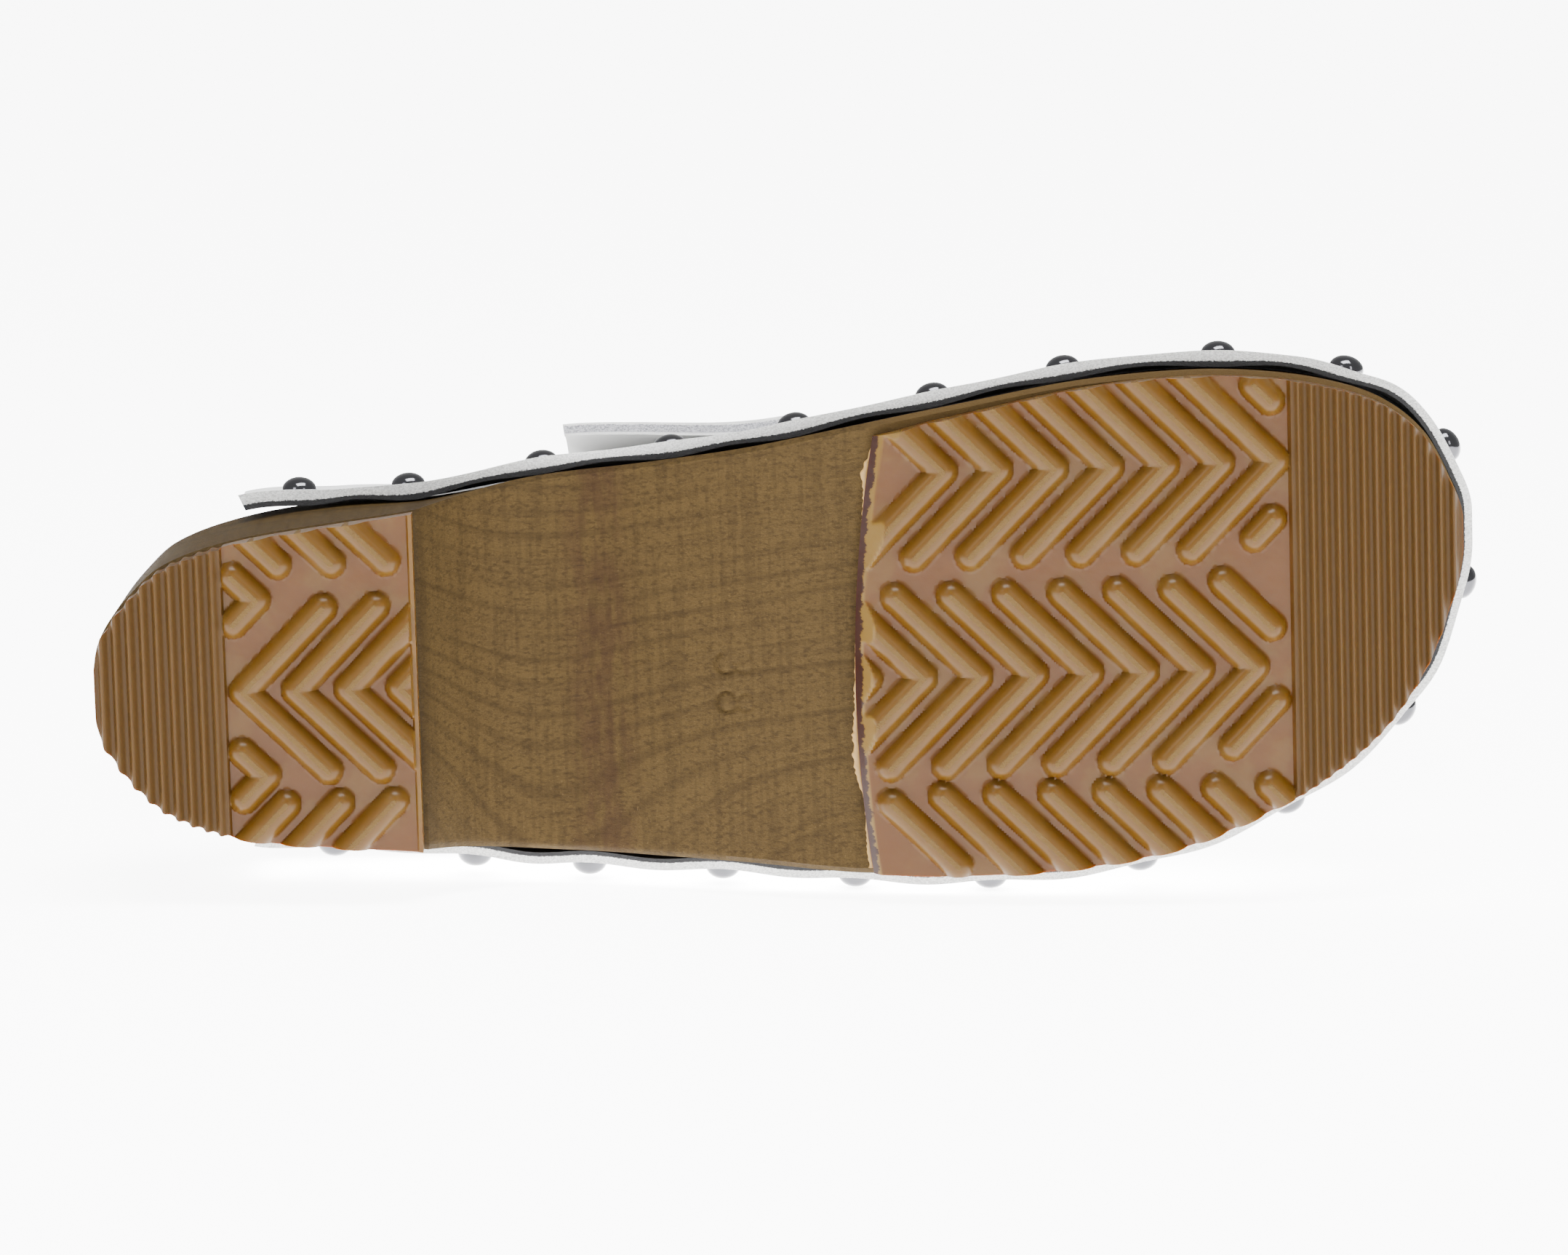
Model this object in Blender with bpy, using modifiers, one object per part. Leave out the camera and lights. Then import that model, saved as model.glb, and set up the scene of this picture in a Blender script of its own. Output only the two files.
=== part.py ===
"""A left clog with a carved wooden sole, lying on its outer side.

The shoe is modelled upright in its own frame, in millimetres: X runs from the back of
the heel to the toe, Y to the outer side of the foot and Z up from the plane of the
tread. An empty then lays the shoe down on its outer side, where nail heads and upper
touch the floor together, with the sole facing -Y and the toe +X.
"""

import math
from collections import namedtuple

import bmesh
import bpy
from mathutils import Matrix, Vector
from mathutils.bvhtree import BVHTree

MM = 0.001

# Overall sizes of a 253 mm sole
LENGTH = 253.0
ROUNDNESS = 0.36
GAP = 0.35
STATIONS = 38

# Rubber treads
BREAST = 59.6
HEEL_RUBBER = 6.0
FORE_RUBBER = 5.0
LUG = 2.3
RIB = 1.2
RIB_WIDTH = 1.3
BAR = 4.3
HEEL_RIB_END = 24.0
HEEL_RIBS = (4.4, 22.6, 8)
FORE_RIB_START = 220.8
FORE_RIBS = (222.4, 249.0, 12)
BORDER = 0.7
FORE_REAR = 140.0
REAR_BOW = 3.4
SKIVE = 3.4
SPRING_START = 192.0
SPRING = 11.0

# Wooden sole
CHAMFER = 1.0
RIM_ROUND = 2.6
HEEL_FLARE_OUTER = 2.6

# Leather
LEATHER = 2.2
COVER = 12.0
FULLNESS = 2.5
WING_FLARE = 1.8
STRAP = 2.5
STRAP_REAR = 87.0
STRAP_FRONT = 130.0
STRAP_DROP_INNER = 8.5
STRAP_DROP_OUTER = 13.5
STRAP_LIFT = 4.0
STRAP_CLEAR = 0.5
STRAP_BEND = 18.0
ARCH_STEPS = 8
ARCH_ANGLES = [math.pi / 2 * i / ARCH_STEPS for i in range(1, ARCH_STEPS + 1)]
SHOULDER_ANGLE = 0.078
SHOULDER = 0.06
SHOULDER_RISE = 10.0

# Nails
NAIL_RADIUS = 3.3
NAIL_HEIGHT = 2.5
NAIL_CLEAR = 0.3

Outline = namedtuple("Outline", "along inner outer")
OUTLINE = (
    Outline(0, -4, 4),
    Outline(3, -12.6, 12.2),
    Outline(7, -17.4, 17.6),
    Outline(13, -22.6, 22.9),
    Outline(26, -27, 27.8),
    Outline(46, -30, 30.2),
    Outline(60, -31.8, 31.4),
    Outline(80, -35.6, 34.2),
    Outline(100, -38, 35.4),
    Outline(120, -41, 36.4),
    Outline(140, -45, 38),
    Outline(160, -48.6, 38.7),
    Outline(180, -52, 37.9),
    Outline(198, -53.4, 35),
    Outline(212, -53.1, 30.2),
    Outline(226, -51, 23.2),
    Outline(238, -46.8, 14),
    Outline(246, -40.2, 3.2),
    Outline(251, -31, -9),
    Outline(253, -24, -19),
)

Footbed = namedtuple("Footbed", "along rim cup")
FOOTBED = (
    Footbed(0, 42, 0.6),
    Footbed(14, 42, 2.6),
    Footbed(40, 42, 3.6),
    Footbed(60, 41.4, 3),
    Footbed(80, 38.8, 2),
    Footbed(100, 34.4, 1.6),
    Footbed(120, 29.8, 1.6),
    Footbed(140, 26.4, 1.8),
    Footbed(165, 24.6, 1.8),
    Footbed(190, 25, 1.6),
    Footbed(215, 27.4, 1.4),
    Footbed(238, 31, 1),
    Footbed(253, 34, 0.4),
)

Arch = namedtuple("Arch", "along under")
ARCH = (
    Arch(60.2, 6.3),
    Arch(64.5, 11.6),
    Arch(70, 16.6),
    Arch(77, 20),
    Arch(84, 20.8),
    Arch(92, 19.8),
    Arch(105, 15.6),
    Arch(118, 11),
    Arch(130, 7.4),
    Arch(138, 5.7),
    Arch(143, 5.35),
)

Instep = namedtuple("Instep", "along crest top")
INSTEP = (
    Instep(0, 0, 74),
    Instep(60, 0, 70),
    Instep(90, -1, 66),
    Instep(112, -3, 62),
    Instep(130, -5, 57),
    Instep(150, -8, 50),
    Instep(172, -11, 43),
    Instep(195, -14, 36.5),
    Instep(215, -17, 32),
    Instep(232, -19, 28),
    Instep(244, -20.5, 23),
    Instep(250, -21.3, 17.5),
    Instep(253, -21.6, 8),
)

Collar = namedtuple("Collar", "along height")
COLLAR = (
    Collar(10, 50),
    Collar(30, 51),
    Collar(46, 52.5),
    Collar(60, 55.5),
    Collar(74, 60.5),
    Collar(87, 68),
    Collar(97, 77),
    Collar(105, 87),
    Collar(110, 97),
    Collar(113, 112),
)
WING_END = 28.0

# How far the inner side wall leans out from its foot to its rim, and in where negative
Lean = namedtuple("Lean", "along inner")
INNER_LEAN = (
    Lean(0, 0),
    Lean(24, 0.5),
    Lean(44, 0.3),
    Lean(62, -1.8),
    Lean(84, -2.8),
    Lean(130, -2.8),
    Lean(160, -2.4),
    Lean(190, -1.8),
    Lean(220, -1.4),
    Lean(245, -0.8),
    Lean(253, -0.3),
)

Inset = namedtuple("Inset", "along inner")
FORE_INSET = (
    Inset(140, 1.8),
    Inset(155, 2.1),
    Inset(175, 1.6),
    Inset(195, 1),
    Inset(240, 0.8),
    Inset(253, 0.2),
)
EDGE_INSET = 0.2
CLIP_INSET = 0.08

# A row of chevrons: the first apex, how many follow, the side arms' reach and where
# the apex points, +1 to the toe and -1 to the heel
Chevrons = namedtuple("Chevrons", "first count pitch centre inner outer points")
HEEL_CHEVRONS = (
    Chevrons(27.7, 4, 9.6, 0.3, 15.1, 15.1, -1),
    Chevrons(30.7, 1, 9.6, -16.6, 4.4, 4.4, 1),
    Chevrons(31.4, 1, 9.6, 15.9, 4.4, 4.4, 1),
)
FORE_CHEVRONS = (
    Chevrons(156.9, 7, 10.15, -36.6, 18, 15.8, 1),
    Chevrons(142.2, 8, 10.17, 1.3, 15, 16.6, 1),
)

# A row of single bars: the first round end, how many follow and the way they run
Bars = namedtuple("Bars", "first count pitch centre run_x run_y")
HEEL_BARS = (
    Bars(34.8, 3, 9.9, -22.9, -9, -9),
    Bars(34.8, 3, 9.9, 21.4, -9, 9),
)
FORE_BARS = (
    Bars(155.3, 7, 10.05, 23.4, 16, 16),
    Bars(146, 1, 10.05, 24.6, 12, 12),
    Bars(217, 1, 10.15, -47.6, -3, -3),
    Bars(217, 1, 10.15, -25.9, -3.4, 3.4),
    Bars(207.6, 1, 10.17, -14.9, 9, 9),
    Bars(217.2, 1, 10.17, 7.7, -8.2, 8.2),
)

Nail = namedtuple("Nail", "along side")
INNER, OUTER = -1, 1
NAILS = (
    Nail(38, INNER),
    Nail(58, INNER),
    Nail(83, INNER),
    Nail(107, INNER),
    Nail(130, INNER),
    Nail(155.5, INNER),
    Nail(179.5, INNER),
    Nail(208, INNER),
    Nail(231.5, INNER),
    Nail(249.2, INNER),
    Nail(251.7, OUTER),
    Nail(240.5, OUTER),
    Nail(219.5, OUTER),
    Nail(192, OUTER),
    Nail(164, OUTER),
    Nail(139, OUTER),
    Nail(114.5, OUTER),
    Nail(89.5, OUTER),
    Nail(68, OUTER),
    Nail(42, OUTER),
)

WOOD = ("wood", (0.19, 0.125, 0.052, 1.0), 0.72, 0.0)
RUBBER = ("rubber", (0.34, 0.18, 0.055, 1.0), 0.45, 0.0)
WHITE_LEATHER = ("leather", (0.88, 0.88, 0.87, 1.0), 0.5, 0.0)
CHROME = ("chrome", (0.75, 0.75, 0.76, 1.0), 0.15, 1.0)

# Densities in grams per cubic millimetre, for the centre of mass
DENSITY = {"wood": 0.00046, "rubber": 0.0011, "leather": 0.0009, "chrome": 0.0078}


def turn_at(along):
    """Angle from the heel's end (0) to the toe's tip (pi) at a place along the sole."""
    share = min(max(along / LENGTH, 0.0), 1.0)
    return math.acos(1.0 - 2.0 * share)


def along_at(turn):
    """Place along the sole at a turn from the heel to the toe."""
    return LENGTH * (1.0 - math.cos(turn)) / 2.0


def smooth(table, column, along):
    """Read a table's column as a smooth curve over the turn from heel to toe."""
    turns = [turn_at(row.along) for row in table]
    values = [getattr(row, column) for row in table]
    turn = min(max(turn_at(along), turns[0]), turns[-1])
    last = len(table) - 2
    left = min(sum(1 for step in turns[1:] if step < turn), last)
    right = left + 1
    span = turns[right] - turns[left]
    before = max(left - 1, 0)
    after = min(right + 1, last + 1)
    slope_left = (values[right] - values[before]) / (turns[right] - turns[before])
    slope_right = (values[after] - values[left]) / (turns[after] - turns[left])
    share = (turn - turns[left]) / span
    cube, square = share**3, share**2
    return (
        (2 * cube - 3 * square + 1) * values[left]
        + (cube - 2 * square + share) * span * slope_left
        + (3 * square - 2 * cube) * values[right]
        + (cube - square) * span * slope_right
    )


def ease(share):
    """Go smoothly from 0 to 1 as the share does."""
    share = min(max(share, 0.0), 1.0)
    return share * share * (3.0 - 2.0 * share)


def mix(low, high, share):
    """Blend two numbers."""
    return low + (high - low) * share


def edge_point(turn, side, grow=0.0):
    """Point of the sole's plan outline, moved outwards by grow."""
    along = along_at(turn)
    width = smooth(OUTLINE, "outer" if side == OUTER else "inner", along)
    level = math.hypot(math.sin(turn), ROUNDNESS * math.cos(turn))
    out_x = -ROUNDNESS * math.cos(turn) / level
    out_y = side * math.sin(turn) / level
    return along + grow * out_x, width + grow * out_y


def spring(along):
    """Rise of the toe above the tread plane."""
    reach = max(along - SPRING_START, 0.0) / (LENGTH - SPRING_START)
    return SPRING * reach**2


def underside(along):
    """Height of the wood's underside over the tread plane."""
    if along <= ARCH[0].along:
        return HEEL_RUBBER + 0.3
    if along >= ARCH[-1].along:
        return ARCH[-1].under + spring(along)
    return smooth(ARCH, "under", along)


def flare(along, side):
    """How far the side wall leans out from its foot to its rim."""
    if side == INNER:
        return smooth(INNER_LEAN, "inner", along)
    return HEEL_FLARE_OUTER * ease(along / 30.0) * (1.0 - ease((along - 60.0) / 80.0))


def wall_point(turn, side, height, grow=0.0):
    """Point of the sole's side wall at a height, moved outwards by grow."""
    x, y = edge_point(turn, side, grow)
    low, high = underside(x), smooth(FOOTBED, "rim", x)
    lean = flare(along_at(turn), side) * (height - low) / (high - low)
    return Vector((x, y + side * lean, height))


def new_object(name, mesh, finish, collection):
    """Wrap a mesh in an object with its own material."""
    thing = bpy.data.objects.new(name, mesh)
    collection.objects.link(thing)
    if finish:
        label, colour, roughness, metallic = finish
        material = bpy.data.materials.get(label) or bpy.data.materials.new(label)
        material.use_nodes = True
        shader = material.node_tree.nodes["Principled BSDF"]
        shader.inputs["Base Color"].default_value = colour
        shader.inputs["Roughness"].default_value = roughness
        shader.inputs["Metallic"].default_value = metallic
        mesh.materials.append(material)
    return thing


def mesh_from(name, build):
    """Make a mesh in metres from what build adds to a BMesh in millimetres."""
    work = bmesh.new()
    build(work)
    bmesh.ops.scale(work, vec=(MM, MM, MM), verts=work.verts)
    mesh = bpy.data.meshes.new(name)
    work.to_mesh(mesh)
    work.free()
    return mesh


def skin_rings(work, rings, closed):
    """Join rings of points with quads, each ring closed in itself or left open."""
    rows = [[work.verts.new(point) for point in ring] for ring in rings]
    count = len(rows[0])
    for row, following in zip(rows, rows[1:]):
        for i in range(count if closed else count - 1):
            j = (i + 1) % count
            work.faces.new((row[i], row[j], following[j], following[i]))
    return rows


def extrude_outline(work, outline, low, high):
    """Raise a flat outline from one height to another as a closed prism."""
    face = work.faces.new([work.verts.new((x, y, low)) for x, y in outline])
    raised = bmesh.ops.extrude_face_region(work, geom=[face])
    top = [item for item in raised["geom"] if isinstance(item, bmesh.types.BMVert)]
    bmesh.ops.translate(work, vec=(0, 0, high - low), verts=top)


def bar_outline(path, width):
    """Outline of a bar with round ends along a path of two or three points."""
    points = [Vector(point) for point in path]
    radius = width / 2.0
    steps = [(b - a).normalized() for a, b in zip(points, points[1:])]
    sides = [Vector((-step.y, step.x)) for step in steps]

    def flank(sign):
        rail = [points[0] + sides[0] * radius * sign]
        for i in range(1, len(points) - 1):
            bend = (sides[i - 1] + sides[i]).normalized()
            rail.append(points[i] + bend * radius * sign / bend.dot(sides[i]))
        return rail + [points[-1] + sides[-1] * radius * sign]

    def cap(centre, start):
        angles = [start - math.pi * step / 4 for step in (1, 2, 3)]
        return [centre + Vector((math.cos(a), math.sin(a))) * radius for a in angles]

    end = math.atan2(sides[-1].y, sides[-1].x)
    begin = math.atan2(-sides[0].y, -sides[0].x)
    far = cap(points[-1], end)
    near = cap(points[0], begin)
    return flank(1) + far + list(reversed(flank(-1))) + near


def chevron_outlines(rows, width):
    """Outlines of all chevrons in rows."""
    outlines = []
    for row in rows:
        for i in range(row.count):
            apex = (row.first + i * row.pitch, row.centre)
            inner = (apex[0] - row.points * row.inner, row.centre - row.inner)
            outer = (apex[0] - row.points * row.outer, row.centre + row.outer)
            outlines.append(bar_outline((inner, apex, outer), width))
    return outlines


def bar_outlines(rows, width):
    """Outlines of all single bars in rows."""
    outlines = []
    for row in rows:
        for i in range(row.count):
            start = (row.first + i * row.pitch, row.centre)
            finish = (start[0] + row.run_x, start[1] + row.run_y)
            outlines.append(bar_outline((start, finish), width))
    return outlines


def modify(thing, operation, other):
    """Apply an exact Boolean between two mesh objects to the first of them."""
    cut = thing.modifiers.new(operation.lower(), "BOOLEAN")
    cut.operation = operation
    cut.object = other
    apply_modifiers(thing)
    bpy.data.objects.remove(other)


def apply_modifiers(thing):
    """Replace an object's mesh by its evaluated one."""
    bpy.context.view_layer.update()
    graph = bpy.context.evaluated_depsgraph_get()
    mesh = bpy.data.meshes.new_from_object(thing.evaluated_get(graph))
    thing.modifiers.clear()
    thing.data = mesh


def guide(name, build, collection):
    """Closed helper solid for a Boolean."""

    def close(work):
        build(work)
        bmesh.ops.recalc_face_normals(work, faces=work.faces)

    thing = new_object(name, mesh_from(name, close), None, collection)
    thing.hide_render = True
    thing.display_type = "WIRE"
    return thing


def sole_stations():
    """Turns of the sole's sections, closer together in the hollow behind the heel."""
    turns = [math.pi * i / STATIONS for i in range(STATIONS + 1)]
    breast = [turn_at(row.along) for row in ARCH[:4]]
    spaced = [turn for turn in turns if min(abs(turn - b) for b in breast) > 0.02]
    return sorted(spaced + breast)


def sole_ring(turn):
    """Section of the wooden sole: underside, outer wall, footbed and inner wall."""
    across = [-1.0, -0.6, -0.2, 0.2, 0.6, 1.0]
    x, inner = edge_point(turn, INNER, -CHAMFER)
    outer = edge_point(turn, OUTER, -CHAMFER)[1]
    ring = [Vector((x, mix(inner, outer, (s + 1) / 2), underside(x))) for s in across]

    rim = smooth(FOOTBED, "rim", along_at(turn))
    low = underside(along_at(turn))
    heights = (low + CHAMFER, mix(low, rim, 0.5), rim - RIM_ROUND)
    ring += [wall_point(turn, OUTER, height) for height in heights]
    shoulder_out = wall_point(turn, OUTER, rim - 0.3 * RIM_ROUND, -0.3 * RIM_ROUND)
    shoulder_in = wall_point(turn, INNER, rim - 0.3 * RIM_ROUND, -0.3 * RIM_ROUND)
    far = wall_point(turn, OUTER, rim, -RIM_ROUND)
    near = wall_point(turn, INNER, rim, -RIM_ROUND)
    cup = smooth(FOOTBED, "cup", along_at(turn))
    ring.append(shoulder_out)
    for s in reversed([-1.0, -0.8, -0.5, 0.0, 0.5, 0.8, 1.0]):
        place = near.lerp(far, (s + 1) / 2)
        ring.append(place - Vector((0, 0, cup * (1 - s * s))))
    ring.append(shoulder_in)
    ring += [wall_point(turn, INNER, height) for height in reversed(heights)]
    return ring


def wooden_sole(collection):
    """Carved sole lofted through its sections."""

    def build(work):
        rows = skin_rings(work, [sole_ring(turn) for turn in sole_stations()], True)
        work.faces.new(rows[0])
        work.faces.new(rows[-1])
        bmesh.ops.recalc_face_normals(work, faces=work.faces)

    return new_object("wooden_sole", mesh_from("wooden_sole", build), WOOD, collection)


def heel_outline(inset):
    """Plan outline of the heel rubber with its straight front edge."""
    turns = [turn_at(BREAST) * i / 12 for i in range(13)]
    inner = [edge_point(turn, INNER, -EDGE_INSET - inset) for turn in turns]
    outer = [edge_point(turn, OUTER, -EDGE_INSET - inset) for turn in turns]
    inner[-1] = (BREAST - inset, inner[-1][1])
    outer[-1] = (BREAST - inset, outer[-1][1])
    return list(reversed(inner)) + outer


def rear_edge(y):
    """Place along the sole of the forefoot rubber's bowed rear edge."""
    return FORE_REAR + REAR_BOW * ((y - 3.0) / 41.0) ** 2


def fore_outline(inset):
    """Plan outline of the forefoot rubber with its bowed rear edge."""
    first = turn_at(FORE_REAR + REAR_BOW)
    turns = [mix(first, math.pi, i / 22) for i in range(23)]
    inner, outer = [], []
    for turn in turns:
        step = smooth(FORE_INSET, "inner", along_at(turn)) + inset
        inner.append(edge_point(turn, INNER, -step))
        outer.append(edge_point(turn, OUTER, -EDGE_INSET - inset))
    low, high = inner[0][1], outer[0][1]
    across = [mix(high, low, i / 8) for i in range(9)]
    rear = [(rear_edge(y) + inset, y) for y in across]
    return inner[1:] + list(reversed(outer[1:])) + rear


def rib_strips(first, last, count):
    """Outlines of ribs across the sole, the first and last centred on two places."""
    places = [mix(first, last, i / (count - 1)) for i in range(count)]
    return [strip(x - RIB_WIDTH / 2, x + RIB_WIDTH / 2) for x in places]


def strip(low, high):
    """Outline of a strip across the whole sole between two places along it."""
    return ((low, -60.0), (high, -60.0), (high, 60.0), (low, 60.0))


def tread(name, outline_at, top, lugs, lug_zone, ribs, rib_zone, collection, skive=None):
    """Rubber plate with raised lugs, and ribs on a block, clipped to its outline."""
    base = top - LUG

    def plate(work):
        extrude_outline(work, outline_at(0.0), LUG, top)
        bmesh.ops.recalc_face_normals(work, faces=work.faces)

    def raised(work):
        for bar in lugs:
            extrude_outline(work, bar, 0.0, LUG + base / 2)

    def rib_block(work):
        extrude_outline(work, strip(*rib_zone), RIB, LUG + base / 2)

    def rib_bars(work):
        for rib in ribs:
            extrude_outline(work, rib, 0.0, RIB + 0.4)

    def clip(work):
        extrude_outline(work, outline_at(CLIP_INSET), -1.0, LUG + base)

    def zone(work):
        extrude_outline(work, strip(*lug_zone), -2.0, LUG + base)

    rubber = new_object(name, mesh_from(name, plate), RUBBER, collection)
    for label, build in (("lugs", raised), ("block", rib_block), ("ribs", rib_bars)):
        pattern = guide(f"{name}_{label}", build, collection)
        modify(pattern, "INTERSECT", guide(f"{name}_clip", clip, collection))
        if label == "lugs":
            modify(pattern, "INTERSECT", guide(f"{name}_zone", zone, collection))
        modify(rubber, "UNION", pattern)
        if label == "lugs" and skive:
            modify(rubber, "DIFFERENCE", guide(f"{name}_skive", skive, collection))
    return rubber


def heel_rubber(collection):
    """Heel tread: ribs at the back, chevrons in front of them."""
    return tread(
        name="heel_rubber",
        outline_at=heel_outline,
        top=HEEL_RUBBER,
        lugs=chevron_outlines(HEEL_CHEVRONS, BAR) + bar_outlines(HEEL_BARS, BAR),
        lug_zone=(HEEL_RIB_END + BORDER, BREAST + 1.0),
        ribs=rib_strips(*HEEL_RIBS),
        rib_zone=(-1.0, HEEL_RIB_END),
        collection=collection,
    )


def bend_to_toe(mesh):
    """Bend a flat tread up along the toe spring."""
    work = bmesh.new()
    work.from_mesh(mesh)
    for i in range(1, 12):
        place = mix(SPRING_START, LENGTH, i / 12) * MM
        whole = list(work.verts) + list(work.edges) + list(work.faces)
        bmesh.ops.bisect_plane(
            work, geom=whole, dist=1e-6, plane_co=(place, 0, 0), plane_no=(1, 0, 0)
        )
    for vert in work.verts:
        vert.co.z += spring(vert.co.x / MM) * MM
    bmesh.ops.triangulate(work, faces=work.faces)
    work.to_mesh(mesh)
    work.free()


def forefoot_rubber(collection):
    """Forefoot tread: chevrons, then ribs round the toe, skived at its rear edge."""

    def skive(work):
        rings = []
        for i in range(11):
            y = mix(-56.0, 46.0, i / 10)
            x = rear_edge(y)
            reach = SKIVE * (1.0 + 0.4 * ease(-y / 44.0))
            profile = ((-3, -2), (-3, 3.9), (0, 3.9), (reach, -0.02), (reach, -2))
            rings.append([(x + dx, y, z) for dx, z in profile])
        rows = skin_rings(work, rings, True)
        work.faces.new(rows[0])
        work.faces.new(rows[-1])

    rubber = tread(
        name="forefoot_rubber",
        outline_at=fore_outline,
        top=FORE_RUBBER,
        lugs=chevron_outlines(FORE_CHEVRONS, BAR) + bar_outlines(FORE_BARS, BAR),
        lug_zone=(FORE_REAR - 1.0, FORE_RIB_START - BORDER),
        ribs=rib_strips(*FORE_RIBS),
        rib_zone=(FORE_RIB_START, LENGTH + 1.0),
        collection=collection,
        skive=skive,
    )
    bend_to_toe(rubber.data)
    return rubber


def over_foot(turn, side, angle, grow):
    """Point of the form over the foot: at the rim for 0, on the crest for a right angle."""
    along = along_at(turn)
    rim = smooth(FOOTBED, "rim", along)
    top = smooth(INSTEP, "top", along) + grow
    foot = wall_point(turn, side, rim, grow)
    power = 2.0 / FULLNESS
    out = abs(math.cos(angle)) ** power
    height = top * math.sin(angle) ** power
    if side == INNER:
        out *= 1.0 - SHOULDER * ease(height / SHOULDER_RISE)
    crest = smooth(INSTEP, "crest", along)
    return Vector((foot.x, mix(crest, foot.y, out), rim + height))


def upper_ring(turn, grow):
    """Open section of the upper's form: inner wall, arch over the foot, outer wall."""
    rim = smooth(FOOTBED, "rim", along_at(turn))
    heights = (rim - COVER, rim - 0.5 * COVER, rim)
    angles = [SHOULDER_ANGLE] + ARCH_ANGLES
    inner = [wall_point(turn, INNER, height, grow) for height in heights]
    inner += [over_foot(turn, INNER, angle, grow) for angle in angles]
    outer = [wall_point(turn, OUTER, height, grow) for height in heights]
    outer += [over_foot(turn, OUTER, angle, grow) for angle in angles[:-1]]
    return inner + list(reversed(outer))


def wing_spread(along):
    """How far the upper's rear ends stand off the wood."""
    return WING_FLARE * ease((46.0 - along) / 18.0)


def upper(collection):
    """Hollow leather upper: closed toe, open collar and back, open underneath."""
    first = turn_at(WING_END)
    turns = [mix(first, math.pi, i / 30) for i in range(31)]

    def build(work):
        rings = [upper_ring(turn, GAP + wing_spread(along_at(turn))) for turn in turns]
        rows = skin_rings(work, rings, False)
        work.faces.new(rows[-1])

    shell = new_object("upper", mesh_from("upper", build), WHITE_LEATHER, collection)
    wall = shell.modifiers.new("leather", "SOLIDIFY")
    wall.thickness = LEATHER * MM
    wall.offset = -1.0
    wall.use_even_offset = True
    apply_modifiers(shell)

    def opening(work):
        steps = [mix(COLLAR[0].along, COLLAR[-1].along, i / 20) for i in range(21)]
        line = [(x, smooth(COLLAR, "height", x)) for x in steps]
        profile = line + [(line[-1][0], 150.0), (line[0][0], 150.0)]
        rings = [[(x, y, z) for x, z in profile] for y in (-70.0, 70.0)]
        rows = skin_rings(work, rings, True)
        work.faces.new(rows[0])
        work.faces.new(rows[-1])

    modify(shell, "DIFFERENCE", guide("collar_opening", opening, collection))
    return shell


def strap_side(along, side, drop, lift):
    """Half a row of the strap, from its end at a drop over the rim up to the crest."""
    turn = turn_at(along)
    grow = GAP + LEATHER + STRAP_CLEAR
    top = smooth(INSTEP, "top", along) + grow
    first = math.asin((drop / top) ** (FULLNESS / 2.0))
    row = [over_foot(turn, side, angle, grow) for angle in [first] + ARCH_ANGLES]
    low = row[0].z
    for point in row:
        near = max(0.0, 1.0 - (point.z - low) / STRAP_BEND)
        point.y += side * lift * near**2
    return row


def strap_ring(along):
    """Row of the strap across the instep, from its free inner end to its outer end."""
    lift = STRAP_LIFT * ease((STRAP_FRONT - along) / (STRAP_FRONT - STRAP_REAR))
    inner = strap_side(along, INNER, STRAP_DROP_INNER, lift)
    outer = strap_side(along, OUTER, STRAP_DROP_OUTER, 0.0)
    return inner + list(reversed(outer[:-1]))


def instep_strap(collection):
    """Wide leather strap cut from the upper's own form, free at its inner end."""

    def build(work):
        rows = [strap_ring(mix(STRAP_REAR, STRAP_FRONT, i / 6)) for i in range(7)]
        skin_rings(work, rows, False)

    name = "instep_strap"
    strap = new_object(name, mesh_from(name, build), WHITE_LEATHER, collection)
    wall = strap.modifiers.new("leather", "SOLIDIFY")
    wall.thickness = STRAP * MM
    wall.offset = -1.0
    wall.use_even_offset = True
    return strap


def nail_mesh():
    """Dome nail head standing on its flat seat, turned from a quarter profile."""

    def build(work):
        steps = 12
        rings = []
        for i in range(4):
            angle = math.pi / 2 * i / 4
            radius = NAIL_RADIUS * math.cos(angle)
            height = NAIL_HEIGHT * math.sin(angle)
            turns = [2 * math.pi * i / steps for i in range(steps)]
            rings.append([(radius * math.cos(a), radius * math.sin(a), height) for a in turns])
        rows = skin_rings(work, rings, True)
        work.faces.new(rows[0])
        tip = work.verts.new((0, 0, NAIL_HEIGHT))
        for i in range(steps):
            work.faces.new((rows[-1][i], rows[-1][(i + 1) % steps], tip))
        bmesh.ops.recalc_face_normals(work, faces=work.faces)

    return mesh_from("nail", build)


def leather_point(turn, side, height, lift):
    """Point over the leather's outer face beside the sole."""
    grow = GAP + LEATHER + wing_spread(along_at(turn)) + lift
    return wall_point(turn, side, height, grow)


def nails(collection):
    """Dome nails through the leather into the sole's edge."""
    mesh = nail_mesh()
    placed = []
    for number, nail in enumerate(NAILS, start=1):
        name = f"nail_{number:02d}"
        finish = CHROME if number == 1 else None
        thing = new_object(name, mesh, finish, collection)
        turn = turn_at(nail.along)
        height = smooth(FOOTBED, "rim", nail.along) - 0.5 * COVER
        seat = leather_point(turn, nail.side, height, NAIL_CLEAR)
        ahead = leather_point(turn + 0.02, nail.side, height, NAIL_CLEAR)
        back = leather_point(turn - 0.02, nail.side, height, NAIL_CLEAR)
        above = leather_point(turn, nail.side, height + 2.0, NAIL_CLEAR)
        outward = nail.side * (above - seat).cross(ahead - back).normalized()
        turned = Vector((0, 0, 1)).rotation_difference(outward).to_matrix().to_4x4()
        thing.matrix_world = Matrix.Translation(seat * MM) @ turned
        placed.append(thing)
    return placed


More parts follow.
